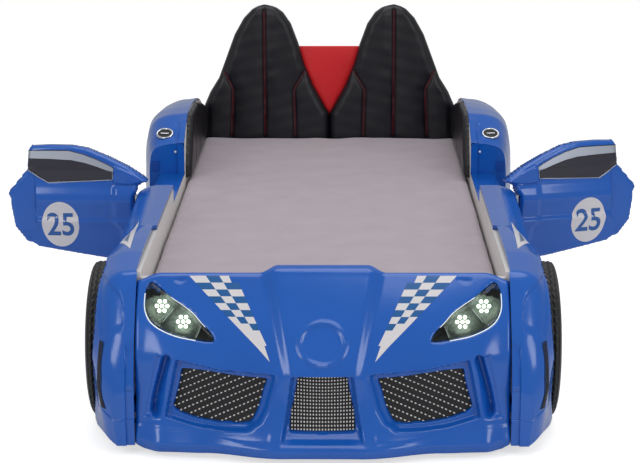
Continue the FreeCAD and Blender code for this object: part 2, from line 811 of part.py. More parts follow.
# ---------------------------------------------------------------- build
def build_frame():
    save_pair("side_board", side_board())
    save("foot_board", foot_board())
    save("headboard", headboard())
    save("slat_rails", Part.makeCompound([slat_rail(), mirrored(slat_rail())]))
    save("slats", slats())
    save("centre_beam", centre_beam())
    save("centre_leg", centre_leg())
    save("centre_foot", centre_foot())
    save("floor_glides", floor_glides())
    save("corner_brackets", corner_brackets())
    save("bracket_bolts", bolts())


def build_nose():
    outer = nose_solid(0)
    inner = nose_solid(skin)
    save("front_shell", front_shell(outer, inner))
    save("nose_ribs", Part.makeCompound([nose_rib(inner), mirrored(nose_rib(inner))]))
    mesh_layer = inner.cut(nose_solid(skin + 2.5))
    side = mesh_layer.common(outline_prism(grille_side_outline, -8, grille_rear))
    save("grille_right", side)
    save("grille_left", mirrored(side))
    save("grille_centre", mesh_layer.common(outline_prism(grille_centre_outline, -8, grille_rear)))
    lens = outer.cut(inner).common(outline_prism(headlight_outline, lens_gap))
    save_pair("headlight_lens", lens)
    tub = inner.cut(pushed_back(inner, housing_depth)).common(outline_prism(headlight_outline, lens_gap))
    hollow = outer.cut(pushed_back(inner, housing_depth - housing_wall))
    tub = tub.cut(hollow.common(outline_prism(headlight_outline, lens_gap + housing_wall)))
    save_pair("headlight_housing", tub)
    save_pair("led_boards", led_boards(tub))
    save("control_box", control_box())
    save("power_inlet", power_inlet())


def led_board(place):
    """Round lamp board on the floor of the housing, behind one place on the bonnet."""
    x, z = place
    surface = nose_rear - 8 - 0.8 * (bonnet_edge_z - z)
    floor = Vector(x, surface + (housing_depth - housing_wall - led_thickness) / bonnet_normal.y, z)
    return polygon_prism(12, led_radius, floor, bonnet_normal, led_thickness + housing_wall / 2)


def led_boards(housing):
    """The two lamp boards of a headlight, seated on its housing."""
    return Part.makeCompound([led_board(place).cut(housing) for place in led_places])


def control_box():
    """Supply and remote receiver of the lamps, on the front of the foot board."""
    half_x, height = 55, 60
    return box(-half_x, half_x, foot_back - control_depth, foot_back, control_z, control_z + height)


def power_inlet():
    """Round inlet in the underside of the control box; its lead isn't part of the bed."""
    centre = Vector(0, foot_back - control_depth / 2, control_z - inlet_depth)
    collar = polygon_prism(6, inlet_radius + 3, centre, Z, inlet_depth)
    return collar.cut(Part.makeCylinder(inlet_radius, inlet_depth, centre))


def build_sides():
    save_pair("fender_front", front_wing())
    rear = rear_wing()
    save_pair("fender_rear", rear)
    badge = wing_badge(rear)
    save("wing_badges", Part.makeCompound([badge, mirrored(badge)]))
    save_pair("sill", sill())
    for place, y in (("front", front_axle_y), ("rear", rear_axle_y)):
        save_pair("tyre_" + place, tyre(y))
        save_pair("rim_" + place, rim(y))


def build_doors():
    pieces = closed_door()
    body_leaf, door_leaf, pin = hinge_pieces()
    save_pair("hinge_body_leaf", body_leaf)
    save("hinge_pins", Part.makeCompound([pin, mirrored(pin)]))
    pieces["hinge_door_leaf"] = door_leaf
    for side, name, angle in ((-1, "left", door_open_left), (1, "right", door_open_right)):
        for stem, shape in pieces.items():
            save("%s_%s" % (stem, name), swung(shape, side, angle))
    save("door_catches", Part.makeCompound([door_catch(), mirrored(door_catch())]))


def build_soft():
    save("mattress", mattress())
    save_pair("backrest", backrest())
    seat_board = prism_y(bell(seat_board_inset), seat_board_front, headboard_front)
    save_pair("seat_board", seat_board)
    save_pair("side_pad", side_pad())
    save("centre_panel", centre_panel())


build_frame()
build_nose()
build_sides()
build_doors()
build_soft()
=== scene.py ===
import math
import bpy
import numpy as np
from mathutils import Matrix, Vector


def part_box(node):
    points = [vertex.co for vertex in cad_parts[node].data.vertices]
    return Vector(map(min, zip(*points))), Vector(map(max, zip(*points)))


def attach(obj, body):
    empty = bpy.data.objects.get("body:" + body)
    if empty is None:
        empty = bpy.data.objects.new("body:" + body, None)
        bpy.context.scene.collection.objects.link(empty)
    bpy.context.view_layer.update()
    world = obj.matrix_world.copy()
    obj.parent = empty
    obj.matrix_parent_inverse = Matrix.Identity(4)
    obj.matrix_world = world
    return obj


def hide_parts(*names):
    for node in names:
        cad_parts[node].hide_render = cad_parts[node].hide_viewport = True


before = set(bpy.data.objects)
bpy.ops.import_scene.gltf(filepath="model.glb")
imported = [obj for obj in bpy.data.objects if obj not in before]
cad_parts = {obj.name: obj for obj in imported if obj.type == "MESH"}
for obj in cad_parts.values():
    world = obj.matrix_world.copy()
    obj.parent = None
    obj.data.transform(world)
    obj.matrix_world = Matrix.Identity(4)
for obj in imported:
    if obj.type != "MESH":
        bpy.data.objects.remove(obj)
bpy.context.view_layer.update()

# A child's bed shaped like a racing car. Shapes are worked out in millimetres in the frame of the
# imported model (+Y towards the head end, +Z up) and become metres as they are laid on their meshes.

MM = 0.001
BODY = "frame"
SIDES = ((-1, "left"), (1, "right"))

# ---------------------------------------------------------------- camera, floor and light
CAMERA_PLACE = (0.0503, -5.3550, 1.6539)
CAMERA_PITCH = math.radians(75.44)
CAMERA_YAW = 0.01326
CAMERA_ROLL = -0.00293
CAMERA_LENS = 101.8


def make_camera():
    data = bpy.data.cameras.new("camera")
    data.lens = CAMERA_LENS
    data.sensor_width = 36
    data.clip_end = 100
    camera = bpy.data.objects.new("camera", data)
    bpy.context.scene.collection.objects.link(camera)
    turn = Matrix.Rotation(CAMERA_YAW, 4, "Z") @ Matrix.Rotation(CAMERA_PITCH, 4, "X")
    camera.matrix_world = Matrix.Translation(CAMERA_PLACE) @ turn @ Matrix.Rotation(CAMERA_ROLL, 4, "Z")
    bpy.context.scene.camera = camera


def soft_box(name, place, target, size, power):
    """Rectangular studio lamp that faces target."""
    data = bpy.data.lights.new(name, "AREA")
    data.shape = "RECTANGLE"
    data.size, data.size_y = size
    data.energy = power
    lamp = bpy.data.objects.new(name, data)
    bpy.context.scene.collection.objects.link(lamp)
    lamp.location = place
    lamp.rotation_mode = "QUATERNION"
    lamp.rotation_quaternion = (Vector(target) - Vector(place)).to_track_quat("-Z", "Y")


# ---------------------------------------------------------------- small tools
def deselect():
    if bpy.context.object and bpy.context.object.mode != "OBJECT":
        bpy.ops.object.mode_set(mode="OBJECT")
    bpy.ops.object.select_all(action="DESELECT")


def activate(piece):
    deselect()
    piece.select_set(True)
    bpy.context.view_layer.objects.active = piece


def apply_modifier(piece, kind, **settings):
    """Add one modifier with its settings and apply it."""
    activate(piece)
    modifier = piece.modifiers.new(kind.lower(), kind)
    for key, value in settings.items():
        setattr(modifier, key, value)
    bpy.ops.object.modifier_apply(modifier=modifier.name)


def thicken(piece, wall):
    """Give a sheet its wall (mm), on the side away from its face."""
    apply_modifier(piece, "SOLIDIFY", thickness=wall * MM, offset=-1)


def at_x(p, x):
    """The points p moved sideways to x."""
    return np.stack([p[:, 0] * 0 + x, p[:, 1], p[:, 2]], 1)


def patch_point(corners, u, v):
    """Point of a four-cornered flat patch at u across it and v down it."""
    (ax, ay), (bx, by), (cx, cy), (dx, dy) = corners
    first = (ax + (bx - ax) * u) * (1 - v) + (dx + (cx - dx) * u) * v
    second = (ay + (by - ay) * u) * (1 - v) + (dy + (cy - dy) * u) * v
    return first, second


def choose_faces(piece, test):
    """Select the faces whose centres (metres) pass test, and go into edit mode."""
    activate(piece)
    mesh = piece.data
    centres = np.zeros(len(mesh.polygons) * 3)
    mesh.polygons.foreach_get("center", centres)
    chosen = test(centres.reshape(-1, 3))
    mesh.vertices.foreach_set("select", np.zeros(len(mesh.vertices), bool))
    mesh.edges.foreach_set("select", np.zeros(len(mesh.edges), bool))
    mesh.polygons.foreach_set("select", chosen)
    bpy.ops.object.mode_set(mode="EDIT")
    bpy.ops.mesh.select_mode(type="FACE")


def leave_edit():
    bpy.ops.object.mode_set(mode="OBJECT")


def points_of(piece):
    values = np.zeros(len(piece.data.vertices) * 3)
    piece.data.vertices.foreach_get("co", values)
    return values.reshape(-1, 3)


def put_points(piece, points):
    piece.data.vertices.foreach_set("co", np.ascontiguousarray(points, dtype=np.float32).ravel())
    piece.data.update()


def grid(name, columns, rows):
    """A flat grid primitive with its corners at 0 and 1."""
    deselect()
    bpy.ops.mesh.primitive_grid_add(x_subdivisions=columns, y_subdivisions=rows, size=1)
    piece = bpy.context.object
    piece.name = name
    points = points_of(piece)
    points[:, :2] += 0.5
    put_points(piece, points)
    return piece


def clean(piece, angle=40, towards=None):
    """Merge doubles, point the faces outwards or towards a direction, and shade smoothly up to an angle."""
    activate(piece)
    bpy.ops.object.mode_set(mode="EDIT")
    bpy.ops.mesh.select_all(action="SELECT")
    bpy.ops.mesh.remove_doubles(threshold=0.00002)
    bpy.ops.mesh.normals_make_consistent(inside=False)
    leave_edit()
    if towards is not None and facing(piece) @ np.array(towards, float) < 0:
        flip(piece)
    bpy.ops.object.shade_smooth_by_angle(angle=math.radians(angle))


def facing(piece):
    """Sum of the face normals, each weighed by its area."""
    count = len(piece.data.polygons)
    normals, areas = np.zeros(count * 3), np.zeros(count)
    piece.data.polygons.foreach_get("normal", normals)
    piece.data.polygons.foreach_get("area", areas)
    return (normals.reshape(-1, 3) * areas[:, None]).sum(0)


def flip(piece):
    activate(piece)
    bpy.ops.object.mode_set(mode="EDIT")
    bpy.ops.mesh.select_all(action="SELECT")
    bpy.ops.mesh.flip_normals()
    leave_edit()


def lay(name, columns, rows, shape):
    """A grid laid on a surface: shape(u, v) gives x, y, z in mm for u and v from 0 to 1."""
    piece = grid(name, columns, rows)
    uv = points_of(piece)
    put_points(piece, np.stack(np.broadcast_arrays(*shape(uv[:, 0], uv[:, 1])), 1) * MM)
    return piece


def drop_faces(piece, test):
    """Delete the faces whose centres (mm) pass test."""
    choose_faces(piece, lambda centres: test(centres / MM))
    bpy.ops.mesh.delete(type="FACE")
    leave_edit()


def extrude_rim(piece, test, move):
    """Extrude the open edges whose two ends (mm) pass test, then move the new points."""
    activate(piece)
    mesh = piece.data
    loop_edges = np.zeros(len(mesh.loops), np.int32)
    mesh.loops.foreach_get("edge_index", loop_edges)
    is_open = np.bincount(loop_edges, minlength=len(mesh.edges)) == 1
    ends = np.zeros(len(mesh.edges) * 2, np.int32)
    mesh.edges.foreach_get("vertices", ends)
    passed = test(points_of(piece) / MM)
    chosen = is_open & passed[ends.reshape(-1, 2)].all(1)
    mesh.polygons.foreach_set("select", np.zeros(len(mesh.polygons), bool))
    mesh.vertices.foreach_set("select", np.zeros(len(mesh.vertices), bool))
    mesh.edges.foreach_set("select", chosen)
    bpy.ops.object.mode_set(mode="EDIT")
    bpy.ops.mesh.select_mode(type="EDGE")
    bpy.ops.mesh.extrude_edges_move()
    leave_edit()
    fresh = np.zeros(len(mesh.vertices), bool)
    mesh.vertices.foreach_get("select", fresh)
    points = points_of(piece) / MM
    points[fresh] = move(points[fresh])
    put_points(piece, points * MM)


def strands(name, lines, radius, closed=False):
    """Round strands of one radius along lines of points (mm), as one mesh."""
    curve = bpy.data.curves.new(name, "CURVE")
    curve.dimensions = "3D"
    curve.bevel_depth = radius * MM
    curve.bevel_resolution = 1
    for line in lines:
        spline = curve.splines.new("POLY")
        spline.points.add(len(line) - 1)
        places = np.concatenate([np.array(line, float) * MM, np.ones((len(line), 1))], 1)
        spline.points.foreach_set("co", places.ravel())
        spline.use_cyclic_u = closed
    curve.use_fill_caps = not closed
    piece = bpy.data.objects.new(name, curve)
    bpy.context.scene.collection.objects.link(piece)
    activate(piece)
    bpy.ops.object.convert(target="MESH")
    piece = bpy.context.object
    bpy.ops.object.shade_smooth()
    return piece


def joined(name, pieces):
    """Join several meshes into one."""
    deselect()
    for piece in pieces:
        piece.select_set(True)
    bpy.context.view_layer.objects.active = pieces[0]
    bpy.ops.object.join()
    pieces[0].name = name
    return pieces[0]


def mirrored(piece, name):
    """A copy of a right-hand piece for the left side, with its custom properties taken off."""
    activate(piece)
    bpy.ops.object.duplicate()
    twin = bpy.context.object
    twin.name = name
    for mark in list(twin.keys()):
        del twin[mark]
    points = points_of(twin)
    points[:, 0] *= -1
    put_points(twin, points)
    flip(twin)
    return twin


def dress(piece, material, nodes=(), body=BODY):
    """Give a finished piece its material, the nodes it stands for and its body."""
    if material is not None:
        piece.data.materials.clear()
        piece.data.materials.append(material)
    if nodes:
        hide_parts(*nodes)
    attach(piece, body)
    return piece


def smooth(value, low, high):
    """0 below low, 1 above high, and a smooth step between."""
    t = np.clip((value - low) / (high - low), 0, 1)
    return t * t * (3 - 2 * t)


def closed_curve(points, per_span=6):
    """Closed Catmull-Rom curve through the points."""
    ring = np.array(points, float)
    before, after, after2 = np.roll(ring, 1, 0), np.roll(ring, -1, 0), np.roll(ring, -2, 0)
    steps = []
    for t in np.arange(per_span) / per_span:
        line = 2 * ring + (after - before) * t
        bend = (2 * before - 5 * ring + 4 * after - after2) * t**2
        steps.append(0.5 * (line + bend + (3 * ring - before - 3 * after + after2) * t**3))
    return np.stack(steps, 1).reshape(-1, 2)


def outline_distance(ring, x, z):
    """Distance in mm from points to a closed outline, negative inside."""
    x, z = np.asarray(x, float), np.asarray(z, float)
    best = np.full(x.shape, 1e12)
    inside = np.zeros(x.shape, bool)
    for (x0, z0), (x1, z1) in zip(ring, np.roll(ring, -1, 0)):
        dx, dz = x1 - x0, z1 - z0
        t = np.clip(((x - x0) * dx + (z - z0) * dz) / (dx * dx + dz * dz + 1e-9), 0, 1)
        best = np.minimum(best, (x - x0 - t * dx) ** 2 + (z - z0 - t * dz) ** 2)
        crosses = (z0 > z) != (z1 > z)
        inside ^= crosses & (x < x0 + (z - z0) * dx / (dz + 1e-12 * (dz == 0)))
    return np.where(inside, -1, 1) * np.sqrt(best)


def snap(x, z, distance, level, reach):
    """Move grid points that lie near one contour of a distance field onto it."""
    gap = distance(x, z) - level
    near = np.abs(gap) < reach
    eps = 0.2
    gx = (distance(x[near] + eps, z[near]) - distance(x[near] - eps, z[near])) / (2 * eps)
    gz = (distance(x[near], z[near] + eps) - distance(x[near], z[near] - eps)) / (2 * eps)
    size = np.maximum(0.3, gx * gx + gz * gz)
    x[near] -= gap[near] * gx / size
    z[near] -= gap[near] * gz / size


def soft_line(knots, values, at, spread):
    """Straight interpolation between knots, rounded off over a spread."""
    total = np.zeros_like(np.asarray(at, float))
    shifts = np.linspace(-1, 1, 9)
    weights = 1 - np.abs(shifts) * 0.85
    for shift, weight in zip(shifts, weights):
        total += weight * np.interp(np.asarray(at) + shift * spread, knots, values)
    return total / weights.sum()


# ---------------------------------------------------------------- materials
BONNET_REAR_Y, BONNET_REAR_Z = -1034, 424      # rear edge of the bonnet beside its raised centre


def linear(code):
    """A hex sRGB colour as linear red, green, blue and alpha."""
    parts = [int(code[i:i + 2], 16) / 255 for i in (1, 3, 5)]
    return [c / 12.92 if c <= 0.04045 else ((c + 0.055) / 1.055) ** 2.4 for c in parts] + [1.0]


def add(tree, kind, inputs=None, **settings):
    """Add one node; an input is a value or another node's socket."""
    node = tree.nodes.new(kind)
    for key, value in settings.items():
        setattr(node, key, value)
    for key, value in (inputs or {}).items():
        if isinstance(value, bpy.types.NodeSocket):
            tree.links.new(value, node.inputs[key])
        else:
            node.inputs[key].default_value = value
    return node


def new_material(name):
    """A material with its node tree, its shader and Object coordinates."""
    material = bpy.data.materials.new(name)
    material.use_nodes = True
    tree = material.node_tree
    shader = tree.nodes["Principled BSDF"]
    place = add(tree, "ShaderNodeTexCoord").outputs["Object"]
    return material, tree, shader, place


def set_shader(shader, **values):
    for key, value in values.items():
        shader.inputs[key.replace("_", " ")].default_value = value


def colour_between(tree, factor, dark, light):
    mix = add(tree, "ShaderNodeMix", {"Factor": factor}, data_type="RGBA")
    mix.inputs["A"].default_value = linear(dark)
    mix.inputs["B"].default_value = linear(light)
    return mix.outputs["Result"]


def bump(tree, shader, height, distance_mm, strength=1.0):
    node = add(tree, "ShaderNodeBump", {"Height": height, "Strength": strength, "Distance": distance_mm * MM})
    tree.links.new(node.outputs["Normal"], shader.inputs["Normal"])


def per_mm(size):
    """Texture scale for a feature of this size in millimetres."""
    return 1 / (size * MM)


def noise(tree, place, size, detail=2.0):
    """Cloudy noise with features of this size in millimetres."""
    cloud = add(tree, "ShaderNodeTexNoise", {"Vector": place, "Scale": per_mm(size), "Detail": detail})
    return cloud.outputs["Fac"]


def paint(tree, shader, factor, dark, light):
    tree.links.new(colour_between(tree, factor, dark, light), shader.inputs["Base Color"])


def vary_roughness(tree, shader, factor, low, high):
    """Let a texture move the roughness between two values."""
    spread = add(tree, "ShaderNodeMapRange", {"Value": factor, "To Min": low, "To Max": high})
    tree.links.new(spread.outputs["Result"], shader.inputs["Roughness"])


def abs_sheet(name, dark, light):
    """Vacuum-formed glossy ABS: a wet-looking skin over a faint ripple from the hot sheet."""
    material, tree, shader, place = new_material(name)
    paint(tree, shader, noise(tree, place, 180), dark, light)
    bump(tree, shader, noise(tree, place, 26, 1.0), 0.25, 0.35)
    vary_roughness(tree, shader, noise(tree, place, 40, 6.0), 0.13, 0.24)
    set_shader(shader, IOR=1.5, Coat_Weight=0.2, Coat_Roughness=0.06)
    return material


def film(name, colour, roughness=0.3):
    """Printed vinyl film: flat colour with a slightly uneven satin face."""
    material, tree, shader, place = new_material(name)
    vary_roughness(tree, shader, noise(tree, place, 30, 3.0), roughness - 0.06, roughness + 0.08)
    set_shader(shader, Base_Color=linear(colour), IOR=1.5)
    return material


def leatherette(name, dark, light, roughness=0.42):
    """Embossed PVC leatherette: pebble grain of about 3 mm, drawn coarse enough to show."""
    material, tree, shader, place = new_material(name)
    warp = noise(tree, place, 60, 3.0)
    cells = add(tree, "ShaderNodeTexVoronoi", {"Vector": place, "Scale": per_mm(3.2)},
                feature="DISTANCE_TO_EDGE")
    paint(tree, shader, warp, dark, light)
    height = add(tree, "ShaderNodeMapRange", {"Value": cells.outputs["Distance"], "From Max": 0.25})
    bump(tree, shader, height.outputs["Result"], 0.25, 0.5)
    vary_roughness(tree, shader, warp, roughness - 0.08, roughness + 0.1)
    set_shader(shader, IOR=1.5)
    return material


def jersey(name, dark, light):
    """Knitted cotton jersey: soft, matt, with fine wales of about 2 mm drawn as coarse as they show."""
    material, tree, shader, place = new_material(name)
    paint(tree, shader, noise(tree, place, 90, 5.0), dark, light)
    wales = add(tree, "ShaderNodeTexWave", {"Vector": place, "Scale": per_mm(2.4) / 6.28, "Distortion": 2.0,
                                           "Detail": 2.0, "Detail Scale": 2.0})
    bump(tree, shader, wales.outputs["Fac"], 0.3, 0.35)
    set_shader(shader, Roughness=0.92, Sheen_Weight=0.25, Sheen_Roughness=0.5)
    return material


def board_face(name, dark, light):
    """Melamine-faced chipboard: white, satin, with a faint paper grain."""
    material, tree, shader, place = new_material(name)
    grain = noise(tree, place, 12, 5.0)
    paint(tree, shader, grain, dark, light)
    bump(tree, shader, grain, 0.08, 0.4)
    set_shader(shader, Roughness=0.45, IOR=1.5)
    return material


def timber(name, dark, light, along=(1.0, 0.12, 1.0)):
    """Planed beech or plywood: grain drawn out along the board, with pores."""
    material, tree, shader, place = new_material(name)
    stretch = add(tree, "ShaderNodeMapping", {"Vector": place, "Scale": along}).outputs["Vector"]
    rings = add(tree, "ShaderNodeTexNoise", {"Vector": stretch, "Scale": per_mm(9), "Detail": 6.0,
                                            "Distortion": 0.6}).outputs["Fac"]
    paint(tree, shader, rings, dark, light)
    bump(tree, shader, rings, 0.15, 0.5)
    set_shader(shader, Roughness=0.6, IOR=1.5)
    return material


def metal(name, colour, roughness=0.3, streak=(1.0, 1.0, 0.05)):
    """Zinc plate, chrome, silver paint or silver film: brushed or rolled lines under the shine."""
    material, tree, shader, place = new_material(name)
    stretch = add(tree, "ShaderNodeMapping", {"Vector": place, "Scale": streak}).outputs["Vector"]
    vary_roughness(tree, shader, noise(tree, stretch, 1.5, 4.0), roughness - 0.08, roughness + 0.12)
    set_shader(shader, Base_Color=linear(colour), Metallic=1.0)
    return material


def moulded(name, colour, roughness=0.5):
    """Injection-moulded plastic with a fine spark-eroded grain."""
    material, tree, shader, place = new_material(name)
    grain = noise(tree, place, 1.6, 3.0)
    bump(tree, shader, grain, 0.08, 0.5)
    vary_roughness(tree, shader, grain, roughness - 0.08, roughness + 0.08)
    set_shader(shader, Base_Color=linear(colour), IOR=1.5)
    return material


def glow(name, colour, strength):
    """Even light with a faint speckle: a lit diode, which is a lamp; painted light on a pale backing; a
    painted highlight on a lens edge.
    """
    material, tree, shader, place = new_material(name)
    speck = colour_between(tree, noise(tree, place, 5), colour, "#FFFFFF")
    tree.links.new(speck, shader.inputs["Emission Color"])
    set_shader(shader, Base_Color=linear(colour), Roughness=0.3, Emission_Strength=strength)
    return material


LED_PLACES = ((397, 357), (343, 325))      # (x, z) of the right lamp's two clusters


def bowl_with_painted_glow(name, dark, light):
    """Satin reflector with the diodes' light painted on it as a glow, brightest beside each cluster."""
    material, tree, shader, place = new_material(name)
    gaps = []
    for side in (-1, 1):
        for x, z in LED_PLACES:
            depth = (BONNET_REAR_Y - 0.85 * (BONNET_REAR_Z - z) + 18) * MM
            gaps.append(add(tree, "ShaderNodeVectorMath", {0: place, 1: (side * x * MM, depth, z * MM)},
                            operation="DISTANCE").outputs["Value"])
    near = gaps[0]
    for gap in gaps[1:]:
        near = add(tree, "ShaderNodeMath", {0: near, 1: gap}, operation="MINIMUM").outputs[0]
    fall = add(tree, "ShaderNodeMapRange", {"Value": near, "From Min": 0.012, "From Max": 0.05, "To Min": 1.5,
                                           "To Max": 0.1}, interpolation_type="SMOOTHSTEP")
    strength = add(tree, "ShaderNodeMath", {0: fall.outputs["Result"], 1: noise(tree, place, 8)},
                   operation="MULTIPLY")
    tree.links.new(strength.outputs[0], shader.inputs["Emission Strength"])
    set_shader(shader, Base_Color=linear(dark), Emission_Color=linear(light), Roughness=0.3, Metallic=0.4)
    return material


def smoked_lens(name, colour):
    """Clear polystyrene lens with a smoke tint."""
    material, tree, shader, place = new_material(name)
    vary_roughness(tree, shader, noise(tree, place, 25), 0.0, 0.05)
    set_shader(shader, Base_Color=linear(colour), IOR=1.3, Transmission_Weight=1.0)
    return material


ABS_BLUE = abs_sheet("abs_blue_gloss", "#0B55B2", "#1660C0")
# A darker copy of the blue sheet: painted shade, standing for the shade on the recessed jamb.
ABS_BLUE_SHADED = abs_sheet("abs_blue_jamb_painted_shade", "#0A449E", "#104CA8")
WHITE_FILM = film("white_vinyl_film", "#DCD9DC")
TEAL_FILM = film("teal_vinyl_film", "#0E5A9A")
NUMBER_FILM = film("number_blue_film", "#1F5CA6")
SILVER_FILM = metal("silver_window_film", "#B4BBC8", 0.34, (0.2, 0.2, 2.0))
DARK_FILM = film("window_dark_film", "#302F3A", 0.2)
GREY_FILM = film("grey_vinyl_film", "#5C7590")
BLACK_LEATHER = leatherette("black_leatherette", "#0A0B12", "#13141D", 0.34)
RED_LEATHER = leatherette("red_leatherette", "#D6141C", "#E42028")
RED_THREAD = film("red_polyester_thread", "#A31C27", 0.6)
SHEET = jersey("mauve_cotton_jersey", "#A69BA4", "#B7ABB4")
WHITE_BOARD = board_face("white_melamine_board", "#D2CFCC", "#E0DDDA")
BEECH = timber("beech_slats", "#C09A6B", "#D8B88C", (0.12, 1.0, 1.0))
PLYWOOD = timber("birch_plywood", "#BE9A68", "#D9BC8E")
ZINC = metal("zinc_plated_steel", "#B9BCC2")
CHROME = metal("bright_chrome_plate", "#D8DCE2", 0.12)
SILVER = metal("silver_painted_abs", "#A9AEB6", 0.32)
BLACK_PLASTIC = moulded("black_moulded_plastic", "#17181B")
TYRE_BLACK = moulded("black_satin_tyre", "#101113", 0.42)
GRILLE_BLACK = moulded("black_perforated_sheet", "#07070B", 0.5)
# The pale backing glows: painted light, so the holes look bright in the recess's shade.
GRILLE_BACK_PAINTED_GLOW = glow("pale_grille_backing_painted_glow", "#BFB9BC", 0.5)
DIODE = glow("warm_white_diode", "#FBFFE0", 6.0)
# A glowing strand: a painted highlight on the lamp's rounded edge.
LENS_EDGE_PAINTED_HIGHLIGHT = glow("lens_edge_painted_highlight", "#E4EEF4", 0.35)
# Satin reflector with a painted glow of the diodes' light around each cluster.
REFLECTOR_PAINTED_GLOW = bowl_with_painted_glow("reflector_painted_glow", "#333B39", "#B8C4B6")
LENS = smoked_lens("smoked_lens", "#B8C4BE")


# ---------------------------------------------------------------- front moulding
NOSE_HALF = 460
NOSE_LOW = 20
BROW_Y, BROW_Z = -1210, 216.5
BULGE_RISE = 14                      # of the raised centre above the bonnet's rear edge
HEADLIGHT = closed_curve((
    (423, 406), (431, 403), (437.5, 390), (439.7, 371), (438, 349), (427, 328), (408, 313.4), (380.5, 301.6),
    (353, 293.6), (317, 287.9), (286.6, 283.6), (268, 283.5), (264.5, 288), (274.6, 303.4), (296.8, 322.8),
    (319.2, 343.6), (346.9, 360.6), (369.2, 372.5), (388, 385.1), (408.7, 399.1)), 5)
SIDE_GRILLE = closed_curve((
    (340, 218.5), (346, 213), (352, 180), (366.5, 127), (363, 119), (352, 110), (340, 104.8), (299, 94.7),
    (244.5, 88.8), (206.5, 89.3), (187, 91.5), (171, 99.2), (154.7, 129), (144, 168), (135, 197), (139, 202),
    (199, 205.5), (255, 212), (307, 217.5)), 4)
CENTRE_GRILLE = closed_curve((
    (0, 209), (48, 208.5), (60, 204), (63, 196), (70, 160), (77.5, 125), (81, 90), (79.5, 81), (72, 77),
    (0, 75), (-72, 77), (-79.5, 81), (-81, 90), (-77.5, 125), (-70, 160), (-63, 196), (-60, 204),
    (-48, 208.5)), 4)
SIDE_RECESS = np.array(((356, 244), (250, 222), (100, 216), (100, 150), (128, 92), (186, 80), (240, 77),
                        (300, 83), (345, 93), (384, 103)))
PILLAR_FOOT = ((88, 190), (99, 171), (129, 154), (201, 134))     # (z, x) of the grille's inner edge
SLOT_ZONE = np.array(((369, 256), (408, 256), (441, 98), (397, 98)))
CENTRE_RECESS = np.array(((-72, 216), (72, 216), (85, 120), (97, 60), (-97, 60), (-85, 120)))
SLOT = closed_curve(((372, 246), (388, 250), (399, 215), (410, 175), (418, 140), (421, 112), (413, 102),
                     (405, 107), (401, 140), (394, 172), (384, 208)), 5)
DIMPLE = closed_curve(((334, 413), (366, 411), (352, 405)), 5)
RING_Z, RING_RADIUS = 284, 57        # round boss on the bonnet; its radius is measured across
NOSE_STEP = 3.0


def brow_line(x):
    """(y, z) of the brow, the crease between bonnet and front face."""
    share = (x / NOSE_HALF) ** 2
    return BROW_Y + 55 * share, BROW_Z + 52.5 * share


def bonnet_edge_z(x):
    """Height of the bonnet's rear edge: raised in the middle, falling at the corners."""
    a = np.abs(x)
    return BONNET_REAR_Z + BULGE_RISE * (1 - smooth(a, 112, 158)) - 22 * smooth(a, 400, 485)


def lip_line(x):
    a = np.abs(x)
    return -1273 + 45 * smooth(a, 90, 290) + 12 * smooth(a, 290, 400) + 30 * smooth(a, 395, 460)


def grille_distance(x, z):
    return np.minimum(outline_distance(SIDE_GRILLE, np.abs(x), z), outline_distance(CENTRE_GRILLE, x, z))


def lamp_distance(x, z):
    return outline_distance(HEADLIGHT, np.abs(x), z)


def nose_skin(x, z):
    """Depth y of the moulding's outer skin before its recesses."""
    a = np.abs(x)
    brow_y, brow_z = brow_line(x)
    slope = (BONNET_REAR_Y - brow_y) / (BONNET_REAR_Z - brow_z)
    up = np.clip((z - brow_z) / (BONNET_REAR_Z - brow_z), 0, 1.15)
    crest, foot = 76 + 40 * up, 100 + 58 * up
    raised = 1 - smooth(a, crest - 4, foot)
    bonnet = brow_y + (z - brow_z) * slope - 8 * 4 * up * (1 - np.minimum(up, 1))
    bonnet = bonnet - raised * (7 + 13 * np.minimum(up, 1))
    down = np.clip((brow_z - z) / (brow_z - 46), 0, 1)
    lip = lip_line(x)
    face = brow_y - raised * 7 * (1 - down) + (lip - brow_y) * (0.3 * down + 0.7 * down**4)
    face = np.where(z < 46, lip + 11 * ((46 - z) / 26) ** 2, face)
    fold_z = 56 + 22 * smooth(a, 150, 420)
    sunk = 2.5 - 2 * smooth(a, 90, 101) * (1 - smooth(a, 123, 134))
    face = face + sunk * smooth(z, fold_z - 2, fold_z + 2) * (1 - smooth(z, fold_z, fold_z + 40))
    face = np.where(z > brow_z, brow_y - raised * 7 + (z - brow_z) * 0.12, face)
    softness = 5 + 14 * smooth(a, 385, 440)
    skin_y = (bonnet + face + np.sqrt((bonnet - face) ** 2 + softness**2)) / 2
    corner = np.clip((a - (NOSE_HALF - 7)) / 7, 0, 1)
    top = np.clip((z - bonnet_edge_z(x) + 7) / 7, 0, 1)
    return skin_y + 7 * (1 - np.sqrt(1 - 0.98 * corner**2)) + 7 * (1 - np.sqrt(1 - 0.98 * top**2))


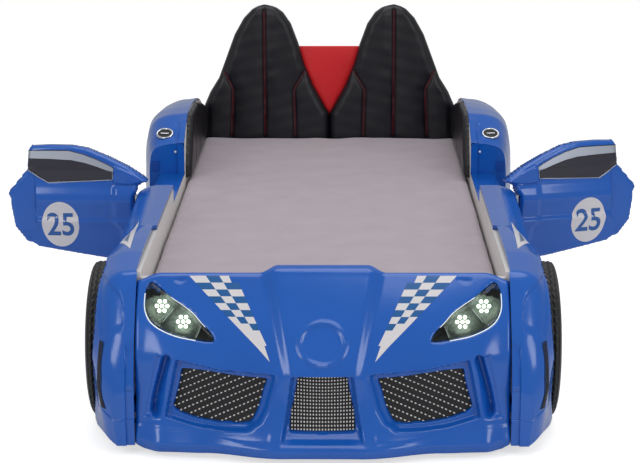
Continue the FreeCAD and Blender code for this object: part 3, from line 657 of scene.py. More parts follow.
def nose_depth(x, z):
    """Depth y of the moulding with its recesses, slots, boss and dimples."""
    a = np.abs(x)
    brow_z = brow_line(x)[1]
    under_brow = 1 - smooth(z, brow_z - 9, brow_z - 1)
    side = outline_distance(SIDE_RECESS, a, z)
    middle = outline_distance(CENTRE_RECESS, x, z)
    slot = outline_distance(SLOT, a, z)
    hole = grille_distance(x, z)
    lamp = lamp_distance(x, z)
    dimple = outline_distance(DIMPLE, a, z)
    from_ring = np.hypot(x, (z - RING_Z) * 1.28)
    y = nose_skin(x, z)
    foot = np.interp(z, [row[0] for row in PILLAR_FOOT], [row[1] for row in PILLAR_FOOT])
    y = y + 20 * (1 - smooth(side, -5, 4)) * under_brow * smooth(a, foot - 28, foot - 2)
    y = y + 24 * (1 - smooth(middle, -7, 6)) * under_brow * (0.6 + 0.4 * smooth(z, 62, 84))
    zone = outline_distance(SLOT_ZONE, a, z)
    y = y + 9 * (1 - smooth(zone, -9, 3)) * under_brow + 24 * (1 - smooth(slot, -6, 4))
    y = y + 9 * (1 - smooth(hole, -2.5, 1.5))
    y = y + 7 * (1 - smooth(lamp, -2.5, 1.0)) + 1.2 * (1 - smooth(lamp, 0, 7))
    y = y + 5 * (1 - smooth(dimple, -5, 4))
    y = y - 4.5 * np.exp(-((from_ring - RING_RADIUS) / 5.0) ** 2)
    return y + 1.5 * (1 - smooth(from_ring, RING_RADIUS - 14, RING_RADIUS - 5))


def nose_low(x):
    """Lower edge of the moulding: dips before its corners and rises at them."""
    a = np.abs(x)
    dip = 3 * np.exp(-((a - 400) / 60) ** 2)
    return NOSE_LOW + 3 * (1 - smooth(a, 60, 200)) - dip + 9 * smooth(a, 438, 460)


def opening_distance(c):
    """Distance of points from the nearest grille or lamp opening."""
    return np.minimum(grille_distance(c[:, 0], c[:, 2]), lamp_distance(c[:, 0], c[:, 2]))


def make_nose():
    columns = int(2 * NOSE_HALF / NOSE_STEP)
    rows = int((BONNET_REAR_Z - NOSE_LOW) / NOSE_STEP)
    piece = grid("front_moulding", columns, rows)
    uv = points_of(piece)
    x = (uv[:, 0] - 0.5) * 2 * NOSE_HALF
    z = nose_low(x) + uv[:, 1] * (bonnet_edge_z(x) - nose_low(x))
    inner = (uv[:, 0] > 0.001) & (uv[:, 0] < 0.999) & (uv[:, 1] > 0.001) & (uv[:, 1] < 0.999)
    xs, zs = x[inner], z[inner]
    for distance in (grille_distance, lamp_distance):
        for level in (0.8, -2.4):
            snap(xs, zs, distance, level, NOSE_STEP * 0.45)
    x[inner], z[inner] = xs, zs
    put_points(piece, np.stack([x, nose_depth(x, z), z], 1) * MM)
    drop_faces(piece, lambda c: opening_distance(c) < -2.6)
    fold_nose_rim(piece)
    clean(piece, 50, (0, -1, 0.3))
    thicken(piece, 3)
    dress(piece, ABS_BLUE, ["front_shell"])


def fold_nose_rim(piece):
    """Fold back the moulding's sides and lower edge, and turn its rear edge down to a flange."""
    def on_side(p):
        return np.abs(p[:, 0]) > NOSE_HALF - 0.3

    def on_top(p):
        return p[:, 2] > bonnet_edge_z(p[:, 0]) - 0.3

    def on_rim(p):
        return ~on_top(p) & (on_side(p) | (p[:, 2] < nose_low(p[:, 0]) + 0.3))

    def folded_back(p):
        return p + np.stack([0 * p[:, 0], 14 + 50 * on_side(p), 0 * p[:, 0]], 1)

    def back_over_board(p):
        reach = 24 * (1 - smooth(np.abs(p[:, 0]), 112, 158))
        return p + np.stack([0 * reach, reach + 1.0, reach * 0.06], 1)

    def last_back(p):
        return (p[:, 1] > BONNET_REAR_Y - 30) & (p[:, 2] > 395)
    extrude_rim(piece, on_rim, folded_back)
    extrude_rim(piece, on_top, back_over_board)
    extrude_rim(piece, last_back, lambda p: p + (0, 1, -16))


# ---------------------------------------------------------------- chequered films and bonnet ring
STRIPE_LINES = (((331.5, 419.3), (160.8, 275.5)), ((291, 419.3), (199.5, 322.5)),
                ((255.4, 417.2), (170.1, 308.7)), ((215, 417.2), (154.1, 308.8)))
STRIPE_TOP, STRIPE_ROW = 419.3, 13.8
STRIPE_CELLS = ("WTW", "TWT", "WTW", "TWT", "WTW", "TWT", "WTW", "WWT")
STRIPE_TAIL = (((200.4, 308.9), (154.1, 308.9), (136, 278), (160.8, 275.5)),
               ((160.8, 275.5), (142.5, 280), (127.8, 244.7), (127.8, 244.7)))
FILM_LIFT = 0.5                      # of a film over the sheet that carries it


def line_x(line, z):
    (x0, z0), (x1, z1) = line
    return x0 + (x1 - x0) * (z - z0) / (z1 - z0)


def film_patch(corners, side):
    """Thin film on the bonnet over a four-cornered (x, z) patch."""
    def shape(u, v):
        x, z = patch_point(corners, u, v)
        return side * x, nose_skin(x, z) - FILM_LIFT, z
    return lay("film", 10, 6, shape)


def make_chequers():
    for side, word in SIDES:
        patches = {"W": [], "T": []}
        for row, cells in enumerate(STRIPE_CELLS):
            top, low = STRIPE_TOP - STRIPE_ROW * row, STRIPE_TOP - STRIPE_ROW * (row + 1)
            for i, colour in enumerate(cells):
                left, right = STRIPE_LINES[i], STRIPE_LINES[i + 1]
                corners = [(line_x(left, top), top), (line_x(right, top), top),
                           (line_x(right, low), low), (line_x(left, low), low)]
                if row == 0 and i == 2:
                    corners[1], corners[2] = (234, top), (226, low)
                patches[colour].append(film_patch(corners, side))
        patches["W"] += [film_patch(corners, side) for corners in STRIPE_TAIL]
        for colour, material, label in (("W", WHITE_FILM, "white"), ("T", TEAL_FILM, "teal")):
            piece = joined("bonnet_film_%s_%s" % (label, word), patches[colour])
            clean(piece, 50, (0, -1, 0.3))
            dress(piece, material)


# ---------------------------------------------------------------- grilles
def perforated(name, columns, rows, place, edge_distance, opens, wall):
    """Perforated sheet: a lattice of cells, some of them opened to a rounded hole inside the outline."""
    piece = lay(name, columns, rows, place)
    drop_faces(piece, lambda c: edge_distance(c) > 9)
    choose_faces(piece, lambda c: (edge_distance(c / MM) < 1) & opens(c / MM))
    bpy.ops.mesh.inset(thickness=wall * MM, use_individual=True, use_even_offset=False)
    bpy.ops.mesh.delete(type="FACE")
    leave_edit()
    apply_modifier(piece, "SUBSURF", levels=1, render_levels=1, boundary_smooth="PRESERVE_CORNERS")
    clean(piece, 50, (0, -1, 0))
    thicken(piece, 1.2)
    return piece


GRILLE_ALONG, GRILLE_ACROSS = 330, 252
GRILLE_ROWS = 28
GRILLE_X, GRILLE_Z = 252, 152        # middle of the right grille
GRILLE_SINK, BACKING_SINK = 12, 17   # how far the mesh and its backing lie behind the recessed face
SIDE_BACKING = ("grille_back_right", (128, 372), (80, 222))      # its name, and its reach in x and in z
CENTRE_BACKING = ("grille_back_centre", (-88, 88), (66, 216))


def side_cell(u, v):
    """Slanting rows of cells, 11 mm along the row and 9 mm across it."""
    along, across = (u - 0.5) * GRILLE_ALONG, (v - 0.5) * GRILLE_ACROSS
    x = GRILLE_X + along * 0.906 + across * 0.30
    z = GRILLE_Z - along * 0.42 + across * 0.80
    return x, nose_depth_plain(x, z) + GRILLE_SINK, z


def in_open_row(c):
    """Every other row of the side grilles has holes."""
    across = (0.42 * (c[:, 0] - GRILLE_X) + 0.906 * (c[:, 2] - GRILLE_Z)) / 0.851
    return np.floor((across / GRILLE_ACROSS + 0.5) * GRILLE_ROWS).astype(int) % 2 == 0


def centre_cell(u, v):
    """Level rows of cells that dip a little in the middle."""
    x = (u - 0.5) * 186
    z = 66 + v * 150 - 10 * (1 - (x / 93) ** 2) * v
    return x, nose_depth_plain(x, z) + GRILLE_SINK, z


def make_backing(name, span_x, span_z):
    """Pale sheet behind a grille's holes, glowing with painted light."""
    def shape(u, v):
        x, z = span_x[0] + (span_x[1] - span_x[0]) * u, span_z[0] + (span_z[1] - span_z[0]) * v
        return x, nose_depth_plain(x, z) + BACKING_SINK, z
    back = lay(name, 40, 30, shape)
    clean(back, 50, (0, -1, 0))
    thicken(back, 1)
    return dress(back, GRILLE_BACK_PAINTED_GLOW)


def make_grilles():
    right = perforated("grille_mesh_right", 30, GRILLE_ROWS, side_cell,
                       lambda c: outline_distance(SIDE_GRILLE, c[:, 0], c[:, 2]), in_open_row, 2.9)
    dress(right, GRILLE_BLACK, ["grille_right"])
    dress(mirrored(right, "grille_mesh_left"), GRILLE_BLACK, ["grille_left"])
    middle = perforated("grille_mesh_centre", 25, 17, centre_cell,
                        lambda c: outline_distance(CENTRE_GRILLE, c[:, 0], c[:, 2]),
                        lambda c: np.full(len(c), True), 2.3)
    dress(middle, GRILLE_BLACK, ["grille_centre"])
    dress(mirrored(make_backing(*SIDE_BACKING), "grille_back_left"), GRILLE_BACK_PAINTED_GLOW)
    make_backing(*CENTRE_BACKING)


def nose_depth_plain(x, z):
    """Depth of the recessed face behind the openings, without its fine edges."""
    a = np.abs(x)
    brow_z = brow_line(x)[1]
    deep = np.where(a < 105, 24, 20)
    return nose_skin(x, np.minimum(z, brow_z - 6)) + deep


# ---------------------------------------------------------------- headlights
LAMP_BLACK_X, LAMP_BLACK_Z = 385, 376          # the bowl is black above the slanting line through here
LAMP_BLACK_SLOPE = -0.18
LAMP_LEFT, LAMP_WIDTH = 258, 188
LAMP_FOOT, LAMP_HEIGHT = 278, 132
LAMP_SET_BACK = 7
LAMP_TIP_LINE = ((294, 317), (308, 293))
LAMP_DIVIDERS = (((296, 320), (309, 291)), ((366, 352), (394, 322)))
BOWL_DEPTH = 24
DIODE_RING, DIODE_RADIUS = 13, 4.8


def side_of(line, x, z):
    (x0, z0), (x1, z1) = line
    return ((x1 - x0) * (z - z0) - (z1 - z0) * (x - x0)) / math.hypot(x1 - x0, z1 - z0)


def lamp_sheet(name, level):
    """Sheet over the lamp's opening with one contour drawn on it; its x, z and the way inside."""
    piece = lay(name, 62, 44, lambda u, v: (LAMP_LEFT + LAMP_WIDTH * u, 0 * u, LAMP_FOOT + LAMP_HEIGHT * v))
    x, _, z = points_of(piece).T / MM
    snap(x, z, lamp_distance, level, 1.5)
    return piece, x, z, -lamp_distance(x, z)


def cut_lamp_sheet(piece, x, y, z, edge):
    """Give the sheet its depth y and cut it to the lamp's outline."""
    put_points(piece, np.stack([x, y, z], 1) * MM)
    drop_faces(piece, lambda c: lamp_distance(c[:, 0], c[:, 2]) > edge)
    clean(piece, 60, (0, -1, 0.3))


def make_bowls():
    bowl, x, z, inside = lamp_sheet("headlight_bowl_right", 0.5)
    y = nose_skin(x, z) + LAMP_SET_BACK + BOWL_DEPTH * smooth(inside, -1, 17)
    for cx, cz in LED_PLACES:
        y = y - 5 * (1 - smooth(np.hypot(x - cx, (z - cz) * 1.2), 15, 26))
    for line in LAMP_DIVIDERS:
        y = y - 13 * np.exp(-(side_of(line, x, z) / 1.8) ** 2) * smooth(inside, 0, 5)
    cut_lamp_sheet(bowl, x, y, z, 0.2)
    bowl.data.materials.append(REFLECTOR_PAINTED_GLOW)
    bowl.data.materials.append(BLACK_PLASTIC)
    for polygon in bowl.data.polygons:
        cx, _, cz = polygon.center / MM
        above = cz > LAMP_BLACK_Z + (cx - LAMP_BLACK_X) * LAMP_BLACK_SLOPE
        polygon.material_index = int(above or side_of(LAMP_TIP_LINE, cx, cz) < 0)
    thicken(bowl, 2)
    dress(bowl, None, ["headlight_housing_right"])
    dress(mirrored(bowl, "headlight_bowl_left"), None, ["headlight_housing_left"])


def make_lenses():
    lens, x, z, inside = lamp_sheet("headlight_glass_right", -0.6)
    cut_lamp_sheet(lens, x, nose_skin(x, z) + 3.2 - 3.4 * smooth(inside, 0, 9), z, -0.8)
    thicken(lens, 1.8)
    dress(lens, LENS, ["headlight_lens_right"])
    dress(mirrored(lens, "headlight_glass_left"), LENS, ["headlight_lens_left"])


def make_lamp_rims():
    """Painted highlight: glowing strands along two stretches of the lamp's outline, and on its dividers."""
    trim = []
    for start, stop, radius in ((12, 47, 1.25), (68, 87, 0.9)):
        x, z = HEADLIGHT[np.arange(start, stop) % len(HEADLIGHT)].T
        trim.append(strands("lamp_rim", [np.stack([x, nose_skin(x, z) + 0.6, z], 1)], radius))
    for (x0, z0), (x1, z1) in LAMP_DIVIDERS:
        t = np.linspace(0.04, 0.96, 8)
        x, z = x0 + (x1 - x0) * t, z0 + (z1 - z0) * t
        trim.append(strands("lamp_divider", [np.stack([x, nose_skin(x, z) + 6, z], 1)], 0.8))
    rim = joined("headlight_rim_right", trim)
    dress(rim, LENS_EDGE_PAINTED_HIGHLIGHT)
    dress(mirrored(rim, "headlight_rim_left"), LENS_EDGE_PAINTED_HIGHLIGHT)


def ball(side, x, y, z, radius, segments):
    """Small sphere at a place in mm, mirrored to a side."""
    deselect()
    bpy.ops.mesh.primitive_uv_sphere_add(segments=segments, ring_count=8, radius=radius * MM,
                                         location=(side * x * MM, y * MM, z * MM))
    return bpy.context.object


def make_diodes():
    """Seven lit domes at each place, in a flower."""
    turns = np.arange(6) * math.pi / 3
    petals = [(0, 0)] + [(DIODE_RING * math.cos(t), DIODE_RING * math.sin(t)) for t in turns]
    for side, word in SIDES:
        domes = []
        for x, z in LED_PLACES:
            for dx, dz in petals:
                px, pz = x + dx, z - 4 + dz * 0.85
                py = float(nose_skin(np.array([px]), np.array([pz]))[0]) + LAMP_SET_BACK + BOWL_DEPTH - 12
                domes.append(ball(side, px, py, pz, DIODE_RADIUS, 12))
        piece = joined("diode_domes_" + word, domes)
        activate(piece)
        bpy.ops.object.transform_apply(location=True, rotation=True, scale=True)
        bpy.ops.object.shade_smooth()
        dress(piece, DIODE, ["led_boards_" + word])


# ---------------------------------------------------------------- wings
WHEEL_Z = 208
ARCH_R = 207
ARCH_INNER = 548                     # where the turned-in edge of the arch ends
FRONT_AXLE, REAR_AXLE = -885, 640
# Sections of the wings by y: top height, flat end x and z, shoulder x and z, widest x and z, low x and z.
FRONT_ROWS = (
    (-1188, (150, 490, 150, 500, 140, 508, 120, 500, 25)),
    (-1176, (215, 500, 213, 520, 196, 536, 150, 520, 32)),
    (-1152, (272, 505, 268, 535, 245, 555, 180, 538, 44)),
    (-1108, (338, 508, 334, 543, 308, 568, 230, 554, 40)),
    (-1060, (404, 512, 400, 549, 370, 575, 290, 570, 34)),
    (-1036, (429, 515, 425, 552, 392, 577, 308, 576, 32)),
    (-1000, (432, 518, 428, 555, 404, 580, 325, 580, 30)),
    (-885, (441, 526, 439, 560, 419, 583, 345, 584, 30)),
    (-760, (442, 517, 440, 555, 416, 582, 350, 584, 30)),
    (-620, (440, 502, 438, 548, 410, 573, 350, 576, 30)),
    (-600, (436, 502, 436, 549, 406, 572, 348, 574, 30)),
    (-350, (436, 508, 436, 556, 412, 568, 360, 568, 30)),
    (-117.5, (436, 517, 436, 560, 418, 568, 385, 566, 30)),
)
REAR_ROWS = (
    (280, (483, 530, 472, 560, 456, 568, 400, 568, 30)),
    (345, (515, 532, 507, 568, 484, 584, 415, 582, 30)),
    (430, (548, 532, 542, 575, 516, 596, 440, 594, 30)),
    (540, (550, 528, 543, 583, 518, 603, 440, 600, 30)),
    (640, (547, 528, 537, 585, 506, 606, 434, 602, 30)),
    (800, (532, 528, 520, 584, 490, 605, 420, 602, 30)),
    (940, (502, 524, 502, 580, 474, 598, 408, 596, 30)),
    (1030, (470, 520, 468, 568, 442, 582, 385, 584, 40)),
    (1084, (408, 512, 406, 544, 388, 556, 340, 556, 62)),
)
WING_SEATS = (0, 0.17, 0.29, 0.44, 0.72, 1.0)


def wing_point(rows, inner_x, y, w):
    """(x, z) on a wing at length y, w from 0 at its inner top edge to 1 at its lower edge."""
    knots = [row[0] for row in rows]
    table = np.array([row[1] for row in rows], float)
    top, flat_x, flat_z, shoulder_x, shoulder_z, wide_x, wide_z, low_x, low_z = [
        soft_line(knots, table[:, i], y, 16) for i in range(table.shape[1])]
    xs = [inner_x, flat_x, shoulder_x, wide_x, low_x * 0.4 + wide_x * 0.6, low_x]
    zs = [top, flat_z, shoulder_z, wide_z, (wide_z + low_z) / 2, low_z]
    x, z = np.zeros_like(y), np.zeros_like(y)
    reach = 0.06 * np.minimum(1, np.minimum(w, 1 - w) / 0.06)
    shifts = np.linspace(-1, 1, 9)
    for shift in shifts:
        at = w + shift * reach
        for i in range(5):
            low, high = WING_SEATS[i], WING_SEATS[i + 1]
            here = (at >= low) & ((at < high) | (i == 4))
            t = (at - low) / (high - low)
            x += np.where(here, xs[i] + (xs[i + 1] - xs[i]) * t, 0) / len(shifts)
            z += np.where(here, zs[i] + (zs[i + 1] - zs[i]) * t, 0) / len(shifts)
    return x, z


def make_wing(name, rows, inner, axle_y, node, relief, face_step):
    """Right-hand wing: a skin over its sections, with the wheel arch cut and its edges turned in."""
    first, last = rows[0][0], rows[-1][0]
    columns = int((last - first) / 5.5)

    def shape(u, v):
        y = first + u * (last - first)
        x, z = wing_point(rows, inner(y), y, v)
        radius = np.hypot(y - axle_y, z - WHEEL_Z)
        for level in (ARCH_R, ARCH_R + 5.5):
            near = (np.abs(radius - level) < 2.75) & (x > 500)
            shrink = level / np.maximum(radius, 1)
            y = np.where(near, axle_y + (y - axle_y) * shrink, y)
            z = np.where(near, WHEEL_Z + (z - WHEEL_Z) * shrink, z)
        radius = np.hypot(y - axle_y, z - WHEEL_Z)
        x = x + 3 * np.exp(-((radius - ARCH_R - 7) / 9) ** 2) * (x > 500)
        return relief(x, y, z)
    piece = lay(name + "_right", columns, 120, shape)
    drop_faces(piece, lambda c: (np.hypot(c[:, 1] - axle_y, c[:, 2] - WHEEL_Z) < ARCH_R) & (c[:, 0] > 500))

    def on_arch(p):
        at_arch = np.hypot(p[:, 1] - axle_y, p[:, 2] - WHEEL_Z) < ARCH_R + 1.5
        return at_arch & (p[:, 0] > 500) & (p[:, 2] > 60)

    def inner_edge(p):
        return np.abs(p[:, 0] - inner(p[:, 1])) < 0.4

    step_x, step_y = face_step

    def near_end(p):
        return (p[:, 1] < first + 0.3) | ((p[:, 1] < first + 9) & (p[:, 0] < step_x + 16))

    def to_step(p):
        return at_x(p, np.minimum(p[:, 0], step_x + 1))

    def over_step(p):
        y = np.where(p[:, 0] > step_x, p[:, 1] + step_y, p[:, 1])
        return np.stack([np.minimum(p[:, 0], step_x - 1), y, p[:, 2]], 1)

    def to_inner(p):
        return at_x(p, inner(p[:, 1]))

    def by_board(p):
        return inner_edge(p) & (p[:, 2] > 120)

    def down_by_board(p):
        ahead = p[:, 1] < -1030
        return p + np.stack([0 * p[:, 0], 40 * ahead, -12 - 40 * ahead], 1)
    extrude_rim(piece, on_arch, lambda p: at_x(p, ARCH_INNER))
    extrude_rim(piece, near_end, to_step)
    extrude_rim(piece, lambda p: near_end(p) & (np.abs(p[:, 0] - step_x - 1) < 0.2), over_step)
    extrude_rim(piece, lambda p: near_end(p) & (np.abs(p[:, 0] - step_x + 1) < 0.2), to_inner)
    extrude_rim(piece, lambda p: p[:, 1] > last - 0.3, to_inner)
    extrude_rim(piece, lambda p: (p[:, 1] < first + 7) & inner_edge(p) & (p[:, 2] < 151),
                lambda p: p + (0, 60, 0))
    extrude_rim(piece, lambda p: (p[:, 2] < 80) & (p[:, 0] > 500), lambda p: p + (-14, 0, 0))
    extrude_rim(piece, by_board, down_by_board)
    clean(piece, 42, (1, 0, 0.5))
    thicken(piece, 3)
    dress(piece, ABS_BLUE, [node + "_right"])
    dress(mirrored(piece, name + "_left"), ABS_BLUE, [node + "_left"])


def front_inner(y):
    """Inner edge of the front wing: beside the nose, then over the side board, with a jog at its step."""
    return 462 + 3 * smooth(y, -1034, -1028) - 9.5 * smooth(y, -611, -604)


def rear_inner(y):
    return 455.5 + 0 * y


SCOOP = np.array(((528, 402), (512, 389), (500, 378), (493, 360), (490, 330), (491, 316), (498, 308),
                  (508, 304), (522, 292), (549, 284), (557, 334), (557, 410)))


def front_relief(x, y, z):
    """Sunk band beside the nose, scoop on the shoulder and flared fold at the foot of the front wing."""
    ahead = 1 - smooth(y, -1000, -960)
    band = (1 - smooth(x, 481, 483)) * (1 - smooth(z, 264, 272)) * (y < -1100)
    scoop = (1 - smooth(outline_distance(SCOOP, x, z), -3.5, 0.5)) * ahead
    fold_z = 80 + (x - 488) * 0.62
    below = fold_z - z
    flare = smooth(below, 0, 3) * np.exp(-np.clip(below, 0, None) / 26) * (1 - smooth(y, -1150, -1110))
    return x - 2.5 * scoop, y + 6 * band + 3 * scoop - 4 * flare * (x > 484), z


def rear_relief(x, y, z):
    """Raised strip beside the side cushion, and the channel between it and the outer panel."""
    ahead = 1 - smooth(y, 392, 420)
    strip = 1 - smooth(x, 476.5, 478.5)
    channel = (1 - strip) * (1 - smooth(x, 491, 493)) * (1 - smooth(z, 520, 527))
    return x, y + (8 * channel - 8 * strip) * ahead, z


WING_FILMS = (      # (x, y) corners of the films on the right front wing
    ("white", ((511, -541), (512, -543), (540, -749), (499, -860)), WHITE_FILM, 0.5),
    ("grey", ((524, -625), (525, -626), (528, -746), (513, -786)), GREY_FILM, 0.9))


def make_wings():
    make_wing("front_wing", FRONT_ROWS, front_inner, FRONT_AXLE, "fender_front", front_relief, (482, 6))
    make_wing("rear_wing", REAR_ROWS, rear_inner, REAR_AXLE, "fender_rear", rear_relief, (477.5, -8))
    for side, word in SIDES:
        for name, corners, material, lift in WING_FILMS:
            dress(wing_patch("wing_film_%s_%s" % (name, word), corners, side, lift), material)
        dress(vent_strip("side_vent_" + word, side), GRILLE_BLACK)


def wing_sections(y, low, high):
    """Rows of (x, z) across the front wing at each y, for w from low to high."""
    shares = np.linspace(low, high, 60)
    levels = [wing_point(FRONT_ROWS, front_inner(y), y, np.full_like(y, at)) for at in shares]
    return np.array([p[0] for p in levels]), np.array([p[1] for p in levels])


def height_on_wing(x, y):
    """Height of the front wing's top over (x, y)."""
    xs, zs = wing_sections(y, 0, 0.5)
    return np.array([np.interp(x[i], xs[:, i], zs[:, i]) for i in range(len(x))])


def wing_patch(name, corners, side, lift):
    """Thin film on the top of a front wing over a four-cornered (x, y) patch."""
    def shape(u, v):
        x, y = patch_point(corners, u, v)
        return side * x, y, height_on_wing(x, y) + lift
    patch = lay(name, 10, 24, shape)
    clean(patch, 50, (0, 0, 1))
    return patch


VENT_FOOT, VENT_HEIGHT, VENT_WIDTH = 118, 158, 15


def vent_strip(name, side):
    """Narrow strip of perforated sheet on the front corner of the wing."""
    def shape(u, v):
        z = VENT_FOOT + VENT_HEIGHT * v
        y_mid = np.interp(z, (VENT_FOOT, 195, VENT_FOOT + VENT_HEIGHT), (-1166, -1152, -1122))
        y = y_mid + (u - 0.5) * VENT_WIDTH
        xs, zs = wing_sections(y, 0.3, 1)
        x = np.array([np.interp(-z[i], -zs[:, i], xs[:, i]) for i in range(len(y))])
        return side * (x + 1.4), y - 0.6, z
    piece = lay(name, 3, 26, shape)
    choose_faces(piece, lambda c: c[:, 2] > 0)
    bpy.ops.mesh.inset(thickness=0.0018, use_individual=True, use_even_offset=False)
    bpy.ops.mesh.delete(type="FACE")
    leave_edit()
    clean(piece, 50, (side, -1, 0))
    thicken(piece, 1)
    return piece


BADGE_HALF = (25, 19)                # half width and height of the oval
BADGE_AHEAD = (0.10, -0.62, 0.78)    # the way the badge faces
JAMB_SCREW = (484, 279.5, 452)


def make_badges():
    """Plain oval badges: a black plate in a bright ring, set on the places of the plates under them."""
    source = points_of(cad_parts["wing_badges"]) / MM
    plate = source[source[:, 0] > 0]
    centre = (plate.max(0) + plate.min(0)) / 2
    ahead = np.array(BADGE_AHEAD) / np.linalg.norm(BADGE_AHEAD)
    across = np.cross((0.0, 0.0, 1.0), ahead)
    across = across / np.linalg.norm(across)
    up = np.cross(ahead, across)

    def spot(turn, reach, lift):
        """Point at an angle, at a share of the oval's size, lifted off its seat."""
        wide, high = BADGE_HALF
        return (centre + np.outer(np.cos(turn) * wide * reach, across)
                + np.outer(np.sin(turn) * high * reach, up) + np.outer(lift, ahead))
    plates, beads = [], []
    for side in (-1, 1):
        def plate_shape(u, v):
            place = spot(u * 2 * math.pi, v, 3.5 - 1.5 * v)
            return side * place[:, 0], place[:, 1], place[:, 2]
        disc = lay("badge_plate", 48, 6, plate_shape)
        clean(disc, 50, (0, -1, 1))
        plates.append(disc)
        rim = spot(np.linspace(0, 2 * math.pi, 48, endpoint=False), 1, 2.5)
        bar = centre + np.outer(np.linspace(-13, 13, 7), across) + ahead * 3.4
        beads.append(strands("badge_ring", [rim * (side, 1, 1)], 3.4, closed=True))
        beads.append(strands("badge_bar", [bar * (side, 1, 1)], 2.2))
    dress(joined("badge_plates", plates), BLACK_PLASTIC, ["wing_badges"])
    dress(joined("badge_rings", beads), CHROME)


def make_jamb_screws():
    screws = []
    for side in (-1, 1):
        screws.append(ball(side, *JAMB_SCREW, 4.2, 16))
        bpy.ops.object.transform_apply(location=True, rotation=True, scale=True)
    dress(joined("jamb_screws", screws), WHITE_FILM)


# ---------------------------------------------------------------- wheels
TYRE_PROFILE = ((550, 150), (550, 194), (554, 199), (562, 200), (580, 200), (588, 197.5), (592, 191),
                (594.5, 182), (595, 168), (594, 156), (592, 147), (590, 141.5), (586, 138.2))
RIM_LIP = ((592, 138), (598, 137.5), (600, 134.5), (598.5, 131), (592, 128), (580, 125), (574, 122))
BACK_PROFILE = ((566, 132), (566, 60), (566, 2))
CAP_PROFILE = ((590, 27), (593, 26), (595.5, 22), (596, 14), (594.5, 11), (594.5, 0.5))
TREAD_BLOCKS = 56
SPOKES = 5
NUT_CIRCLE = 36


def turned(name, profile, axle_y, columns=240, relief=None):
    """Surface turned about the axle through (x, radius) points, with an optional relief on both."""
    knots = np.array(profile, float)
    run = np.concatenate([[0], np.cumsum(np.hypot(*np.diff(knots, axis=0).T))])

    def shape(u, v):
        angle = u * 2 * math.pi
        x, r = np.interp(v * run[-1], run, knots[:, 0]), np.interp(v * run[-1], run, knots[:, 1])
        if relief:
            x, r = relief(angle, x, r)
        return x, axle_y + r * np.sin(angle), WHEEL_Z + r * np.cos(angle)
    return lay(name, columns, 72, shape)


def tread(angle, x, r):
    """Block tread with two grooves round it."""
    outer = smooth(r, 197, 199.5)
    groove = np.exp(-((x - 574) / 2.2) ** 2) + np.exp(-((x - 586) / 2.2) ** 2)
    block = smooth(np.sin(angle * TREAD_BLOCKS + (x - 580) * 0.12), 0.55, 0.85)
    return x, r - outer * np.clip(3.2 * groove + 2.4 * block, 0, 3.4)


def spoke_half(r):
    """Half the angle that a spoke takes at radius r: wider at the hub and at the rim."""
    width = 13 + 9 * smooth(r, 85, 124) + 8 * (1 - smooth(r, 26, 52))
    return np.arcsin(np.clip(width / r, 0, 0.56))


def spoke_face(axle_y):
    """Five spokes over a dished trim; the windows between them are cut out with turned-in edges."""
    sector = 2 * math.pi / SPOKES

    def shape(u, v):
        turn = u * SPOKES
        whole, t = np.floor(turn), (turn % 1) * 2 - 1
        r = 8 + v * 120
        half = spoke_half(r)
        past = (np.abs(t) - 0.5) * 2 * (sector / 2 - half)
        a = np.where(np.abs(t) < 0.5, t * 2 * half, np.sign(t) * (half + past))
        angle = whole * sector + a + sector / 2
        crown = np.clip(1 - (t / 0.5) ** 2, 0, 1)
        dish = 582 + 12 * smooth(r, 60, 128) + 6 * (1 - smooth(r, 12, 46))
        dish = dish + 5 * np.sqrt(crown) * smooth(r, 18, 40)
        dish = dish - 3.5 * np.exp(-(t / 0.12) ** 2) * smooth(r, 45, 60) * (1 - smooth(r, 100, 112))
        return dish, axle_y + r * np.sin(angle), WHEEL_Z + r * np.cos(angle)
    piece = lay("spokes", 160, 60, shape)

    def in_window(c):
        r = np.hypot(c[:, 1] - axle_y, c[:, 2] - WHEEL_Z)
        angle = np.arctan2(c[:, 1] - axle_y, c[:, 2] - WHEEL_Z) % sector
        return (np.abs(angle - sector / 2) > spoke_half(r)) & (r > 44) & (r < 120)
    drop_faces(piece, in_window)
    extrude_rim(piece, lambda p: p[:, 0] > 560, lambda p: p + (-12, 0, 0))
    return piece


def wheel_nuts(axle_y):
    nuts = []
    for i in range(SPOKES):
        angle = (i + 0.5) * 2 * math.pi / SPOKES
        y, z = axle_y + NUT_CIRCLE * math.sin(angle), WHEEL_Z + NUT_CIRCLE * math.cos(angle)
        deselect()
        bpy.ops.mesh.primitive_cylinder_add(vertices=6, radius=0.0045, depth=0.008,
                                            rotation=(0, math.pi / 2, 0), location=(0.592, y * MM, z * MM))
        nuts.append(bpy.context.object)
        bpy.ops.object.transform_apply(location=True, rotation=True, scale=True)
    return joined("wheel_nuts", nuts)


def make_wheel(place, axle_y):
    tyre = turned("tyre", TYRE_PROFILE, axle_y, 448, tread)
    clean(tyre, 35, (1, 0, 0))
    lip = turned("rim_lip", RIM_LIP, axle_y, 160)
    rim = joined("rim", [spoke_face(axle_y), lip])
    clean(rim, 38, (1, 0, 0))
    back = turned("wheel_back", BACK_PROFILE, axle_y, 60)
    clean(back, 30, (1, 0, 0))
    cap = turned("hub_cap", CAP_PROFILE, axle_y, 60)
    clean(cap, 30, (1, 0, 0))
    for piece, label, material, slot, node in (
            (tyre, "tyre", TYRE_BLACK, "tyre_black", "tyre_"), (rim, "rim", SILVER, "rim_silver", "rim_"),
            (back, "wheel_back", BLACK_PLASTIC, "black_plastic", None),
            (cap, "hub_cap", BLACK_PLASTIC, "black_plastic", None),
            (wheel_nuts(axle_y), "wheel_nuts", CHROME, "steel", None)):
        piece.name = "%s_%s_right" % (label, place)
        dress(piece, material, [node + place + "_right"] if node else ())
        twin = mirrored(piece, "%s_%s_left" % (label, place))
        dress(twin, material, [node + place + "_left"] if node else ())


